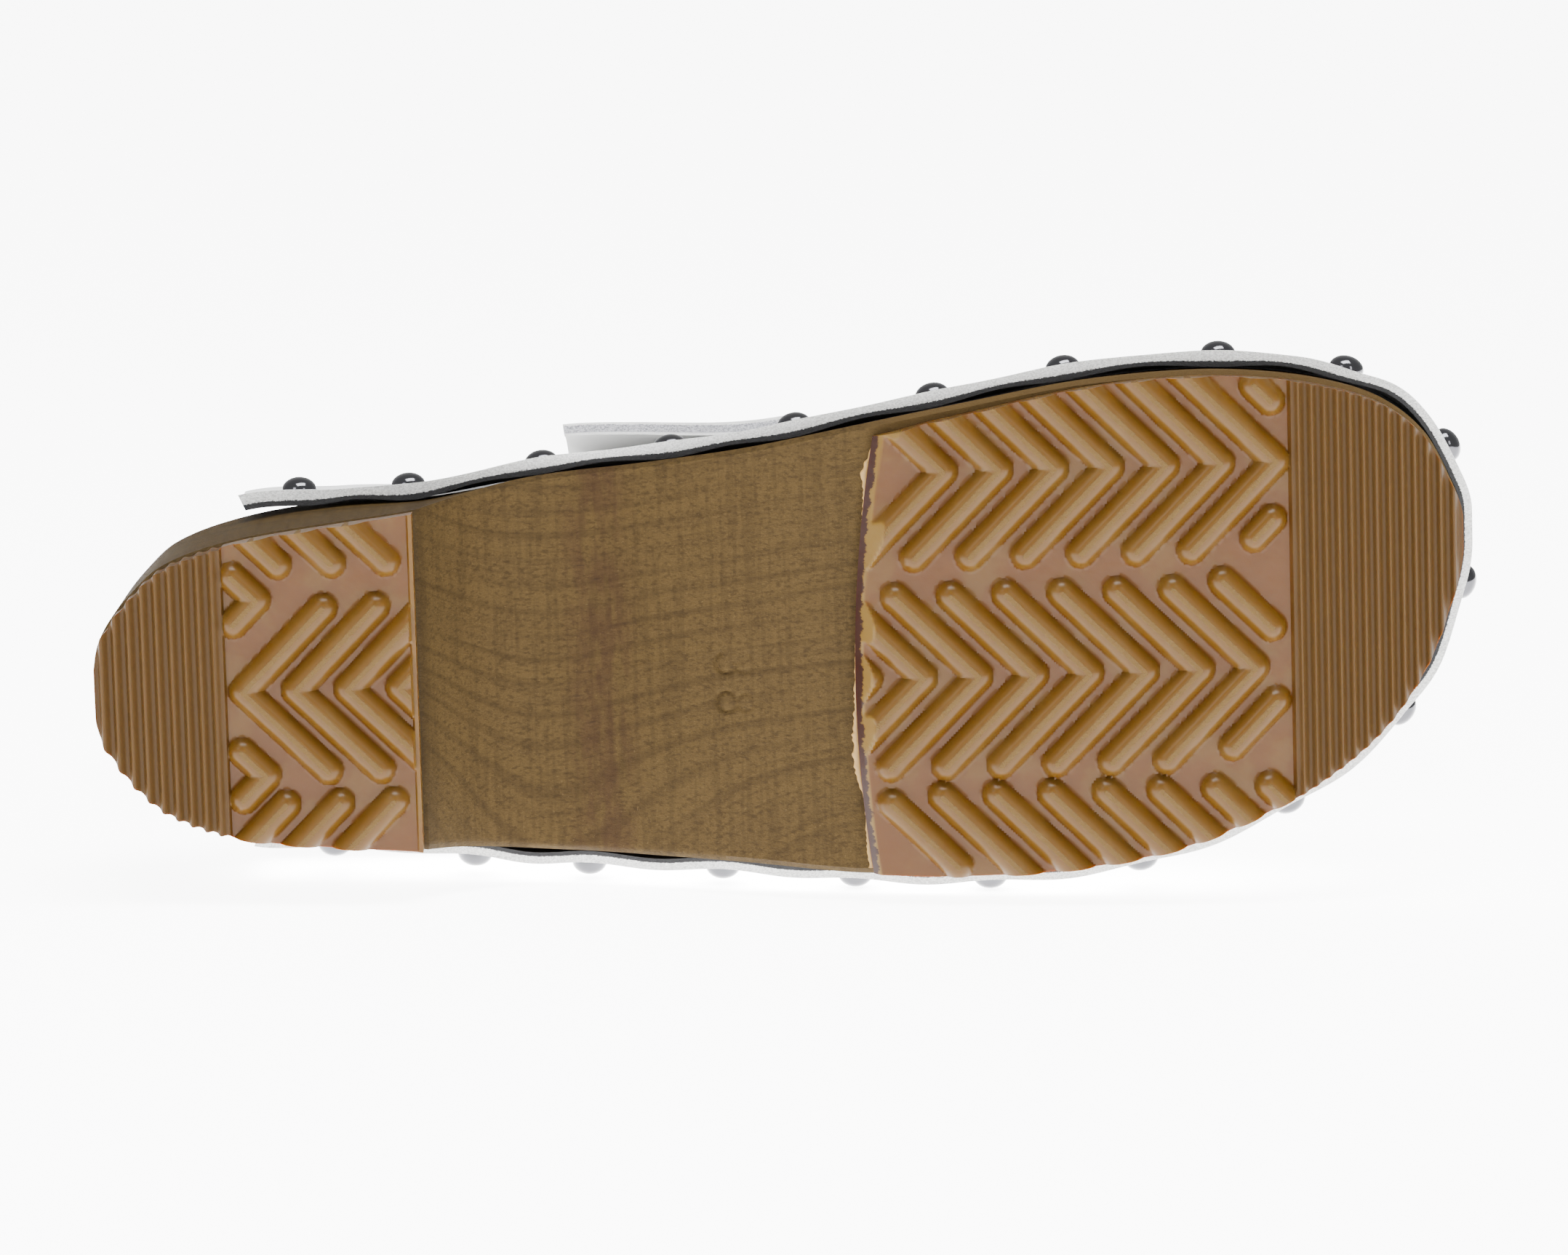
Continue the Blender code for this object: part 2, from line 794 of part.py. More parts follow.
def solid_points(things):
    """All corners of the objects, and their common centre of mass."""
    bpy.context.view_layer.update()
    graph = bpy.context.evaluated_depsgraph_get()
    corners, moment, mass = [], Vector(), 0.0
    for thing in things:
        mesh = thing.evaluated_get(graph).to_mesh()
        place = thing.matrix_world
        points = [place @ vert.co for vert in mesh.vertices]
        density = DENSITY[mesh.materials[0].name]
        mesh.calc_loop_triangles()
        for triangle in mesh.loop_triangles:
            a, b, c = (points[i] for i in triangle.vertices)
            part = a.dot(b.cross(c)) / 6.0 * density
            mass += part
            moment += (a + b + c) / 4.0 * part
        corners += points
        thing.evaluated_get(graph).to_mesh_clear()
    return corners, moment / mass


def resting_face(corners, centre):
    """Outward normal of the hull face that the shoe lies on, on its outer side."""
    hull = bmesh.new()
    for corner in corners:
        hull.verts.new(corner)
    bmesh.ops.convex_hull(hull, input=hull.verts)
    tree = BVHTree.FromBMesh(hull)
    down = Vector((0, 1, 0))
    for _ in range(20):
        _, normal, _, _ = tree.ray_cast(centre, down)
        if normal.dot(centre) < 0 and normal.dot(down) < 0:
            normal = -normal
        down = normal
    hull.free()
    return down


def lay_down(pose, things):
    """Turn and move the empty so that the shoe lies on the floor round the origin."""
    corners, centre = solid_points(things)
    up = -resting_face(corners, centre)
    toe = Vector((1, 0, 0))
    ahead = (toe - up * toe.dot(up)).normalized()
    turn = Matrix((ahead, up.cross(ahead), up))
    laid = [turn @ corner for corner in corners]
    low = [min(point[i] for point in laid) for i in range(3)]
    high = [max(point[i] for point in laid) for i in range(3)]
    shift = Vector(((low[0] + high[0]) / 2, (low[1] + high[1]) / 2, low[2]))
    pose.matrix_world = Matrix.Translation(-shift) @ turn.to_4x4()


def main():
    """Build the clog."""
    for thing in list(bpy.data.objects):
        bpy.data.objects.remove(thing)
    clog = bpy.data.collections.new("clog")
    bpy.context.scene.collection.children.link(clog)

    things = [wooden_sole(clog), heel_rubber(clog), forefoot_rubber(clog)]
    things += [upper(clog), instep_strap(clog)]
    things += nails(clog)

    pose = bpy.data.objects.new("lying_pose", None)
    clog.objects.link(pose)
    for thing in things:
        thing.parent = pose
    lay_down(pose, things)


main()
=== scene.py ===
"""Looks of a left wooden clog that lies on its outer side.

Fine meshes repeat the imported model's form in the shoe's own frame, in millimetres: X runs
from the back of the heel to the toe, Y to the outer side of the foot and Z up from the
plane of the tread. POSE lays them down in the row frame, in metres.
"""

import logging
import math
from dataclasses import dataclass
from enum import Enum

import bmesh
import bpy
import numpy as np
from mathutils import Matrix, Vector


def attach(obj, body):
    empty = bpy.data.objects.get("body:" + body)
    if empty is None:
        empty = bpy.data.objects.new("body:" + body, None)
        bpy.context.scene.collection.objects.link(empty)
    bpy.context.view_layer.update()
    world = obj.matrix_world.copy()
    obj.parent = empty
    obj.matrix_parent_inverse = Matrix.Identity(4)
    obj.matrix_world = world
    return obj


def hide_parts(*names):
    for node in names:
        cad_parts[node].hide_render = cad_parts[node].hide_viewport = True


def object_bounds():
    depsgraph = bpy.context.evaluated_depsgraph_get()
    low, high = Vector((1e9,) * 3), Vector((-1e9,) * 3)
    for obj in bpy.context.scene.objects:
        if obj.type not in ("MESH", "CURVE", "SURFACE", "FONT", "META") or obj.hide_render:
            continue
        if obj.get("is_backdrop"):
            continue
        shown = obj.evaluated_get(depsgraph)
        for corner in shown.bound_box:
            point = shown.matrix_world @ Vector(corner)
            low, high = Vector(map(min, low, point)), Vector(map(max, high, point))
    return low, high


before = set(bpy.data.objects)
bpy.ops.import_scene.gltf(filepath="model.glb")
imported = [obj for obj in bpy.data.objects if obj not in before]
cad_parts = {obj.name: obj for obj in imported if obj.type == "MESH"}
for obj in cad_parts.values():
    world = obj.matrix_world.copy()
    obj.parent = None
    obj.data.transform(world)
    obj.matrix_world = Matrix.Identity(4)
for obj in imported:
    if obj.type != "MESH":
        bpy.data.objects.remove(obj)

LOG = logging.getLogger("clog")
MM = 0.001
BODY = "root"

# The shoe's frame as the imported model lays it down: rotation, then shift in metres
POSE = Matrix(
    (
        (0.999592, 0.028569, -0.000099, -0.128194),
        (0.0, 0.003482, 0.999994, -0.054537),
        (0.02857, -0.999586, 0.00348, 0.039225),
        (0.0, 0.0, 0.0, 1.0),
    )
)

LENGTH = 253.0
ROUNDNESS = 0.36
GAP = 0.35
LEATHER = 2.2
COLLAR_FRONT = 113.0
MERGE_DISTANCE = 1e-7
SHARP_DEGREES = 42.0
FAR = 99.0

# Share of a colour's brightness that looks like its screen values in the bright studio
WOOD_SHARE = 0.205
RUBBER_SHARE = 0.18
GLUE_SHARE = 0.32
LEATHER_SHADE = (0.8, 0.8, 0.79, 1.0)


class Side(Enum):
    """Side of the foot, with the sign of its Y."""

    INNER = -1
    OUTER = 1


def turn_at(along: np.ndarray) -> np.ndarray:
    """Angle from the heel's end (0) to the toe's tip (pi) at places along the sole."""
    return np.arccos(1.0 - 2.0 * np.clip(np.asarray(along, float) / LENGTH, 0.0, 1.0))


def along_at(turn: np.ndarray) -> np.ndarray:
    """Places along the sole at turns from the heel to the toe."""
    return LENGTH * (1.0 - np.cos(turn)) / 2.0


def ease(share: np.ndarray) -> np.ndarray:
    """Go smoothly from 0 to 1 as the share does."""
    share = np.clip(share, 0.0, 1.0)
    return share * share * (3.0 - 2.0 * share)


def mix(low: np.ndarray, high: np.ndarray, share: np.ndarray) -> np.ndarray:
    """Blend two values."""
    return low + (high - low) * share


def join_axes(x: np.ndarray, y: np.ndarray, z: np.ndarray) -> np.ndarray:
    """Points from their three coordinates, spread to one shape."""
    return np.stack(np.broadcast_arrays(x, y, z), axis=-1)


class Curve:
    """Smooth curve over the sole's length through a short table."""

    def __init__(self, places: tuple[float, ...], values: tuple[float, ...]) -> None:
        """Keep the table over the turn, and the slope at each row.

        Args:
            places: Places along the sole, in millimetres.
            values: The value at each place.

        Returns:
            None.
        """
        self.turns = turn_at(np.array(places))
        self.values = np.array(values, float)
        last = len(places) - 1
        after = np.minimum(np.arange(last + 1) + 1, last)
        before = np.maximum(np.arange(last + 1) - 1, 0)
        rise = self.values[after] - self.values[before]
        self.slopes = rise / (self.turns[after] - self.turns[before])

    def at(self, along: np.ndarray) -> np.ndarray:
        """Read the curve.

        Args:
            along: Places along the sole.

        Returns:
            The value at each place, held constant past the ends.
        """
        turn = np.clip(turn_at(along), self.turns[0], self.turns[-1])
        left = np.clip(np.searchsorted(self.turns, turn) - 1, 0, len(self.turns) - 2)
        right = left + 1
        span = self.turns[right] - self.turns[left]
        share = (turn - self.turns[left]) / span
        cube, square = share**3, share**2
        return (
            (2 * cube - 3 * square + 1) * self.values[left]
            + (cube - 2 * square + share) * span * self.slopes[left]
            + (3 * square - 2 * cube) * self.values[right]
            + (cube - square) * span * self.slopes[right]
        )


def curves(*rows: tuple[float, ...]) -> list[Curve]:
    """Curves of a table's columns over its first one."""
    places, *columns = zip(*rows)
    return [Curve(places, column) for column in columns]


# Columns: along, inner edge, outer edge
INNER_EDGE, OUTER_EDGE = curves(
    (0, -4, 4),
    (3, -12.6, 12.2),
    (7, -17.4, 17.6),
    (13, -22.6, 22.9),
    (26, -27, 27.8),
    (46, -30, 30.2),
    (60, -31.8, 31.4),
    (80, -35.6, 34.2),
    (100, -38, 35.4),
    (120, -41, 36.4),
    (140, -45, 38),
    (160, -48.6, 38.7),
    (180, -52, 37.9),
    (198, -53.4, 35),
    (212, -53.1, 30.2),
    (226, -51, 23.2),
    (238, -46.8, 14),
    (246, -40.2, 3.2),
    (251, -31, -9),
    (253, -24, -19),
)

# Columns: along, height of the rim, depth of the cupped footbed
RIM, CUP = curves(
    (0, 42, 0.6),
    (14, 42, 2.6),
    (40, 42, 3.6),
    (60, 41.4, 3),
    (80, 38.8, 2),
    (100, 34.4, 1.6),
    (120, 29.8, 1.6),
    (140, 26.4, 1.8),
    (165, 24.6, 1.8),
    (190, 25, 1.6),
    (215, 27.4, 1.4),
    (238, 31, 1),
    (253, 34, 0.4),
)

# Columns: along, height of the wood's underside in the arch
ARCH_START, ARCH_END = 60.2, 143.0
(ARCH,) = curves(
    (ARCH_START, 6.3),
    (64.5, 11.6),
    (70, 16.6),
    (77, 20),
    (84, 20.8),
    (92, 19.8),
    (105, 15.6),
    (118, 11),
    (130, 7.4),
    (138, 5.7),
    (ARCH_END, 5.35),
)

# Columns: along, how far the inner wall leans out from foot to rim, in where negative
(INNER_LEAN,) = curves(
    (0, 0),
    (24, 0.5),
    (44, 0.3),
    (62, -1.8),
    (84, -2.8),
    (130, -2.8),
    (160, -2.4),
    (190, -1.8),
    (220, -1.4),
    (245, -0.8),
    (253, -0.3),
)

# Columns: along, place of the crest across the foot, its height over the rim
CREST, TOP = curves(
    (0, 0, 74),
    (60, 0, 70),
    (90, -1, 66),
    (112, -3, 62),
    (130, -5, 57),
    (150, -8, 50),
    (172, -11, 43),
    (195, -14, 36.5),
    (215, -17, 32),
    (232, -19, 28),
    (244, -20.5, 23),
    (250, -21.3, 17.5),
    (253, -21.6, 8),
)

# Columns: along, height of the collar's edge
(COLLAR,) = curves(
    (10, 50),
    (30, 51),
    (46, 52.5),
    (60, 55.5),
    (74, 60.5),
    (87, 68),
    (97, 77),
    (105, 87),
    (110, 97),
    (COLLAR_FRONT, 112),
)

# Columns: along, how far the forefoot tread's inner edge keeps back from the wood's
(INNER_INSET,) = curves(
    (140, 1.8),
    (155, 2.1),
    (175, 1.6),
    (195, 1),
    (240, 0.8),
    (253, 0.2),
)

# Nails along the sole, at half the height of the leather's cover
NAILS = {
    Side.INNER: (38, 58, 83, 107, 130, 155.5, 179.5, 208, 231.5, 249.2),
    Side.OUTER: (251.7, 240.5, 219.5, 192, 164, 139, 114.5, 89.5, 68, 42),
}


@dataclass(frozen=True)
class LastForm:
    """The form that sole and upper are cut from, with its sizes in millimetres."""

    heel_rubber: float = 6.0
    fore_rubber: float = 5.35
    spring_start: float = 192.0
    toe_spring: float = 11.0
    glue_gap: float = 0.3
    flare_outer: float = 2.6
    flare_full: float = 30.0
    flare_fade: tuple = (60.0, 80.0)
    fullness: float = 0.8
    shoulder: float = 0.06
    shoulder_rise: float = 10.0

    def edge(self, turn: np.ndarray, side: Side, grow: np.ndarray = 0.0) -> tuple:
        """Plan outline of the sole.

        Args:
            turn: Turns from the heel to the toe.
            side: Side of the foot.
            grow: How far the outline is moved outwards.

        Returns:
            The X and the Y values.
        """
        along = along_at(turn)
        width = (OUTER_EDGE if side is Side.OUTER else INNER_EDGE).at(along)
        level = np.hypot(np.sin(turn), ROUNDNESS * np.cos(turn))
        x = along - grow * ROUNDNESS * np.cos(turn) / level
        return x, width + grow * side.value * np.sin(turn) / level

    def spring(self, x: np.ndarray) -> np.ndarray:
        """Rise of the toe above the tread plane."""
        reach = np.maximum(x - self.spring_start, 0.0) / (LENGTH - self.spring_start)
        return self.toe_spring * reach**2

    def underside(self, x: np.ndarray) -> np.ndarray:
        """Height of the wood's underside over the tread plane.

        Args:
            x: Places along the sole.

        Returns:
            Heights over the heel rubber, in the arch or over the forefoot rubber.
        """
        fore = self.fore_rubber + self.spring(x)
        middle = np.where(x >= ARCH_END, fore, ARCH.at(x))
        return np.where(x <= ARCH_START, self.heel_rubber + self.glue_gap, middle)

    def wall(
        self, turn: np.ndarray, side: Side, height: np.ndarray, grow: np.ndarray = 0.0
    ) -> np.ndarray:
        """Points of the sole's side wall.

        Args:
            turn: Turns from the heel to the toe.
            side: Side of the foot.
            height: Heights over the tread plane.
            grow: How far the wall is moved outwards.

        Returns:
            The points.
        """
        x, y = self.edge(turn, side, grow)
        low, high = self.underside(x), RIM.at(x)
        along = along_at(turn)
        fade_start, fade_length = self.flare_fade
        full = self.flare_outer * ease(along / self.flare_full)
        full = full * (1.0 - ease((along - fade_start) / fade_length))
        if side is Side.INNER:
            full = INNER_LEAN.at(along)
        return join_axes(x, y + side.value * full * (height - low) / (high - low), height)

    def over_foot(
        self, turn: np.ndarray, side: Side, angle: np.ndarray, grow: np.ndarray
    ) -> np.ndarray:
        """Points of the form over the foot.

        Args:
            turn: Turns from the heel to the toe.
            side: Side of the foot.
            angle: 0 at the rim, a right angle on the crest.
            grow: How far the form is moved outwards.

        Returns:
            The points.
        """
        along = along_at(turn)
        rim = RIM.at(along)
        foot = self.wall(turn, side, rim, grow)
        out = np.abs(np.cos(angle)) ** self.fullness
        height = (TOP.at(along) + grow) * np.sin(angle) ** self.fullness
        if side is Side.INNER:
            out = out * (1.0 - self.shoulder * ease(height / self.shoulder_rise))
        y = mix(CREST.at(along), foot[..., 1], out)
        return join_axes(foot[..., 0], y, rim + height)

    def angle_at(self, along: np.ndarray, height: np.ndarray) -> np.ndarray:
        """Angle at which the form over the foot reaches a height, a right one at most.

        Args:
            along: Places along the sole.
            height: Heights over the rim.

        Returns:
            The angles.
        """
        share = np.clip(height / TOP.at(along), 0.0, 1.0)
        return np.arcsin(share ** (1.0 / self.fullness))


FORM = LastForm()


@dataclass
class Surface:
    """Points and faces of a piece that is being built, with values on its points."""

    points: np.ndarray
    faces: list
    slots: list
    values: dict

    @classmethod
    def empty(cls) -> "Surface":
        """A surface with nothing on it yet."""
        return cls(np.zeros((0, 3)), [], [], {})

    def add_points(self, points: np.ndarray, **values: np.ndarray) -> np.ndarray:
        """Add a grid of points.

        Args:
            points: Points in millimetres, of any grid shape.
            values: A number on each point, or one for them all, by name.

        Returns:
            The new points' numbers, in the grid's shape.
        """
        shape = points.shape[:-1]
        first = len(self.points)
        count = int(np.prod(shape))
        self.points = np.vstack((self.points, points.reshape(-1, 3)))
        for name in set(values) | set(self.values):
            old = self.values.get(name, np.zeros(first))
            new = np.broadcast_to(values.get(name, 0.0), shape).reshape(-1)
            self.values[name] = np.concatenate((old, new))
        return np.arange(first, first + count).reshape(shape)

    def add_quads(self, rows: np.ndarray, closed: bool = False, slot: int = 0) -> None:
        """Join the rows of a grid of point numbers with quads.

        Args:
            rows: Point numbers, a row for each line of points.
            closed: Whether each row is closed in itself.
            slot: Number of the finish.

        Returns:
            None.
        """
        if closed:
            rows = np.hstack((rows, rows[:, :1]))
        quads = np.stack((rows[:-1, :-1], rows[:-1, 1:], rows[1:, 1:], rows[1:, :-1]), axis=-1)
        quads = quads.reshape(-1, 4).tolist()
        self.faces += quads
        self.slots += [slot] * len(quads)

    def add_face(self, numbers: np.ndarray, slot: int = 0) -> None:
        """Add one face."""
        self.faces.append([int(number) for number in numbers])
        self.slots.append(slot)

    def build(self, name: str, finishes: list[bpy.types.Material]) -> bpy.types.Object:
        """Make the object in the row frame.

        Args:
            name: Name of the piece.
            finishes: Materials in the order of the slots.

        Returns:
            The object, shaded smooth with its sharp edges kept.
        """
        mesh = bpy.data.meshes.new(name)
        mesh.from_pydata((self.points * MM).tolist(), [], self.faces)
        for finish in finishes:
            mesh.materials.append(finish)
        mesh.polygons.foreach_set("material_index", self.slots)
        shoe = mesh.attributes.new("shoe", "FLOAT_VECTOR", "POINT")
        shoe.data.foreach_set("vector", self.points.astype(np.float32).ravel())
        for label, numbers in self.values.items():
            layer = mesh.attributes.new(label, "FLOAT", "POINT")
            layer.data.foreach_set("value", numbers.astype(np.float32))
        work = bmesh.new()
        work.from_mesh(mesh)
        bmesh.ops.remove_doubles(work, verts=work.verts, dist=MERGE_DISTANCE)
        bmesh.ops.recalc_face_normals(work, faces=work.faces)
        work.to_mesh(mesh)
        work.free()
        mesh.transform(POSE)
        mesh.shade_smooth()
        mesh.set_sharp_from_angle(angle=math.radians(SHARP_DEGREES))
        thing = bpy.data.objects.new(name, mesh)
        bpy.context.scene.collection.objects.link(thing)
        return thing


def declare(piece: bpy.types.Object, slot: str, *nodes: str) -> None:
    """Put a piece on the body, in the place of its CAD nodes.

    Args:
        piece: The piece.
        slot: Name of a material slot; not used.
        nodes: CAD nodes that the piece stands for.

    Returns:
        None.
    """
    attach(piece, BODY)
    if nodes:
        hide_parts(*nodes)
    LOG.info("%s: %d faces", piece.name, len(piece.data.polygons))


def srgb(red: int, green: int, blue: int, share: float = 1.0) -> tuple:
    """Linear colour from its 0 to 255 screen values, darkened to a share of itself."""
    return (*(share * ((c / 255.0 + 0.055) / 1.055) ** 2.4 for c in (red, green, blue)), 1.0)


def wood_tone(red: int, green: int, blue: int) -> tuple:
    """Colour of wood that looks like its screen values in the bright studio."""
    return srgb(red, green, blue, WOOD_SHARE)


def rubber_tone(red: int, green: int, blue: int) -> tuple:
    """Colour of rubber that looks like its screen values in the bright studio."""
    return srgb(red, green, blue, RUBBER_SHARE)


class Nodes:
    """Short calls that build one material's nodes."""

    def __init__(self, name: str) -> None:
        """Start a material with its shader.

        Args:
            name: Name of the material.

        Returns:
            None.
        """
        self.material = bpy.data.materials.new(name)
        self.material.use_nodes = True
        self.tree = self.material.node_tree
        self.shader = self.tree.nodes["Principled BSDF"]

    def feed(self, socket: bpy.types.NodeSocket, value: object) -> None:
        """Link a socket's value, or set it as a constant.

        Args:
            socket: The input that is fed.
            value: An output to link, or a constant.

        Returns:
            None.
        """
        if isinstance(value, bpy.types.NodeSocket):
            self.tree.links.new(value, socket)
        else:
            socket.default_value = value

    def principled(self, **inputs: object) -> None:
        """Set the shader's inputs, named with underscores for spaces."""
        for name, value in inputs.items():
            self.feed(self.shader.inputs[name.replace("_", " ")], value)

    def attribute(self, name: str) -> bpy.types.Node:
        """Node that reads a value on the piece's points.

        Args:
            name: Name of the value.

        Returns:
            The node.
        """
        node = self.tree.nodes.new("ShaderNodeAttribute")
        node.attribute_name = name
        return node

    def value(self, name: str) -> bpy.types.NodeSocket:
        """Number on the piece's points."""
        return self.attribute(name).outputs["Fac"]

    def math(self, operation: str, first: object, second: object = 0.0) -> bpy.types.NodeSocket:
        """Result of a sum on two numbers.

        Args:
            operation: Blender's name of the sum.
            first: The first number.
            second: The second number, unused where the sum has one.

        Returns:
            The result.
        """
        node = self.tree.nodes.new("ShaderNodeMath")
        node.operation = operation
        self.feed(node.inputs[0], first)
        self.feed(node.inputs[1], second)
        return node.outputs[0]

    def times(self, first: object, second: object) -> bpy.types.NodeSocket:
        """Product of two numbers."""
        return self.math("MULTIPLY", first, second)

    def span(self, value: object, low: float, high: float) -> bpy.types.NodeSocket:
        """Go smoothly from 0 to 1 as a value goes from low to high.

        Args:
            value: The value.
            low: Where the result is 0.
            high: Where the result is 1.

        Returns:
            The share.
        """
        node = self.tree.nodes.new("ShaderNodeMapRange")
        node.interpolation_type = "SMOOTHSTEP"
        backwards = low > high
        self.feed(node.inputs["Value"], value)
        node.inputs["From Min"].default_value = high if backwards else low
        node.inputs["From Max"].default_value = low if backwards else high
        node.inputs["To Min"].default_value = 1.0 if backwards else 0.0
        node.inputs["To Max"].default_value = 0.0 if backwards else 1.0
        return node.outputs["Result"]

    def band(self, value: object, low: float, high: float, soft: float) -> bpy.types.NodeSocket:
        """1 between low and high with soft ends."""
        rise = self.span(value, low - soft, low + soft)
        return self.times(rise, self.span(value, high + soft, high - soft))

    def axes(self, vector: object) -> list[bpy.types.NodeSocket]:
        """The three coordinates of a vector.

        Args:
            vector: The vector.

        Returns:
            X, Y and Z.
        """
        node = self.tree.nodes.new("ShaderNodeSeparateXYZ")
        self.feed(node.inputs[0], vector)
        return list(node.outputs)

    def combine(self, x: object, y: object, z: object) -> bpy.types.NodeSocket:
        """Vector from three numbers.

        Args:
            x: Its first number.
            y: Its second number.
            z: Its third number.

        Returns:
            The vector.
        """
        node = self.tree.nodes.new("ShaderNodeCombineXYZ")
        for socket, value in zip(node.inputs, (x, y, z)):
            self.feed(socket, value)
        return node.outputs[0]

    def shoe(self, x: float = 1.0, y: float = 1.0, z: float = 1.0) -> bpy.types.NodeSocket:
        """Place in the shoe's own frame in millimetres, scaled along each axis.

        Args:
            x: Scale along the sole.
            y: Scale across it.
            z: Scale of the height.

        Returns:
            The place.
        """
        node = self.tree.nodes.new("ShaderNodeVectorMath")
        node.operation = "MULTIPLY"
        self.feed(node.inputs[0], self.attribute("shoe").outputs["Vector"])
        node.inputs[1].default_value = (x, y, z)
        return node.outputs[0]

    def noise(
        self, vector: object, scale: float, detail: float = 4.0, rough: float = 0.55
    ) -> bpy.types.NodeSocket:
        """Noise between 0 and 1.

        Args:
            vector: Where it is read.
            scale: Features to the millimetre.
            detail: Finer layers.
            rough: How strong the finer layers are.

        Returns:
            The noise.
        """
        node = self.tree.nodes.new("ShaderNodeTexNoise")
        self.feed(node.inputs["Vector"], vector)
        node.inputs["Scale"].default_value = scale
        node.inputs["Detail"].default_value = detail
        node.inputs["Roughness"].default_value = rough
        return node.outputs["Fac"]

    def blend(self, share: object, low: object, high: object) -> bpy.types.NodeSocket:
        """Mix two colours by a share.

        Args:
            share: 0 for the first colour, 1 for the second.
            low: The first colour.
            high: The second colour.

        Returns:
            The mix.
        """
        node = self.tree.nodes.new("ShaderNodeMix")
        node.data_type = "RGBA"
        self.feed(node.inputs[0], share)
        self.feed(node.inputs[6], low)
        self.feed(node.inputs[7], high)
        return node.outputs[2]

    def bump(self, height: object, depth: float, under: object = None) -> bpy.types.NodeSocket:
        """Normal from a height between 0 and 1.

        Args:
            height: The height.
            depth: Its depth in millimetres.
            under: Normal of a coarser layer beneath.

        Returns:
            The normal.
        """
        node = self.tree.nodes.new("ShaderNodeBump")
        self.feed(node.inputs["Height"], height)
        node.inputs["Distance"].default_value = depth * MM
        if under is not None:
            self.feed(node.inputs["Normal"], under)
        return node.outputs["Normal"]


@dataclass(frozen=True)
class WoodFinish:
    """Stained alder: tilted growth rings, cross lines, a reddish cross band, small light specks
    painted as glints, and a painted shade at the heel breast.
    """

    light: tuple = wood_tone(132, 106, 62)
    middle: tuple = wood_tone(112, 89, 52)
    warm: tuple = wood_tone(118, 94, 54)
    dark: tuple = wood_tone(76, 58, 32)
    reddish: tuple = wood_tone(88, 60, 42)
    crack: tuple = wood_tone(48, 38, 32)
    glint: tuple = wood_tone(176, 146, 98)
    toe_tan: tuple = wood_tone(142, 112, 66)
    pith_y: float = 60.0
    pith_z: float = -35.0
    ring_sway: float = 9.0
    ring_rate: float = 1.6
    ring_strength: float = 0.38
    grain_strength: float = 0.65
    across_strength: float = 0.26
    late_strength: float = 0.25
    band_place: tuple = (87.5, 98.0, 3.5)
    band_strength: float = 0.5
    toe_place: tuple = (139.0, 152.0)
    toe_strength: float = 0.75
    breast_shade_place: tuple = (58.0, 61.2, 1.6)
    breast_shade_strength: float = 0.5
    glint_strength: float = 0.35
    line_depth: float = 0.12
    fibre_depth: float = 0.16
    roughness: float = 0.62

    def make(self) -> bpy.types.Material:
        """Build the material.

        Returns:
            The wood.
        """
        nodes = Nodes("wood_stained")
        x, y, z = nodes.axes(nodes.shoe())
        from_y = nodes.math("SUBTRACT", y, self.pith_y)
        from_z = nodes.math("SUBTRACT", z, self.pith_z)
        squares = nodes.math("ADD", nodes.times(from_y, from_y), nodes.times(from_z, from_z))
        ring = nodes.math("SQRT", squares)
        sway = nodes.noise(nodes.shoe(0.3, 1.0, 1.0), 0.02, 2.0)
        ring = nodes.math("ADD", ring, nodes.times(sway, self.ring_sway))
        along_ring = nodes.combine(nodes.times(x, 0.03), ring, 0.0)
        streaks = nodes.noise(along_ring, 0.3, 2.0, 0.5)
        lines = nodes.noise(along_ring, 1.1, 4.0, 0.6)
        fibre = nodes.noise(nodes.shoe(0.6, 1.0, 1.0), 3.4, 4.0, 0.7)
        glint_flecks = nodes.noise(nodes.combine(nodes.times(x, 0.4), ring, z), 3.4, 2.0)
        turns = nodes.math("SINE", nodes.times(nodes.math("ADD", ring, lines), self.ring_rate))
        rings = nodes.times(nodes.span(turns, 0.25, 1.0), self.ring_strength)
        rings = nodes.times(rings, nodes.span(streaks, 0.35, 0.6))

        colour = nodes.blend(nodes.span(streaks, 0.3, 0.7), self.middle, self.warm)
        colour = nodes.blend(nodes.span(fibre, 0.4, 0.75), colour, self.light)
        colour = nodes.blend(rings, colour, self.dark)
        grain = nodes.noise(nodes.shoe(0.45, 1.0, 1.0), 1.5, 3.0, 0.7)
        grain = nodes.times(nodes.span(grain, 0.54, 0.32), self.grain_strength)
        colour = nodes.blend(grain, colour, self.dark)
        across = nodes.noise(nodes.shoe(1.0, 0.05, 0.05), 0.85, 3.0, 0.6)
        across = nodes.times(nodes.span(across, 0.54, 0.38), self.across_strength)
        colour = nodes.blend(across, colour, self.dark)
        late = nodes.times(nodes.span(lines, 0.44, 0.34), self.late_strength)
        colour = nodes.blend(late, colour, self.dark)
        band = nodes.band(x, *self.band_place)
        ragged = nodes.span(nodes.noise(nodes.shoe(0.8, 0.2, 0.3), 0.5), 0.34, 0.6)
        band = nodes.times(nodes.times(band, ragged), self.band_strength)
        colour = nodes.blend(band, colour, self.reddish)
        cracks = nodes.noise(nodes.combine(nodes.times(x, 0.1), ring, 3.0), 1.5, 3.0)
        cracks = nodes.times(nodes.span(cracks, 0.34, 0.28), band)
        colour = nodes.blend(cracks, colour, self.crack)
        toe = nodes.times(nodes.span(x, *self.toe_place), self.toe_strength)
        colour = nodes.blend(toe, colour, self.toe_tan)
        # Painted shade: darker band where the underside rises steeply at the heel breast; it
        # darkens the walls and footbed at the same place too.
        breast = nodes.times(nodes.band(x, *self.breast_shade_place), self.breast_shade_strength)
        colour = nodes.blend(breast, colour, self.dark)
        # Painted highlight: small light specks stand in for glints on the wood.
        glints = nodes.times(nodes.span(glint_flecks, 0.66, 0.8), self.glint_strength)
        colour = nodes.blend(glints, colour, self.glint)

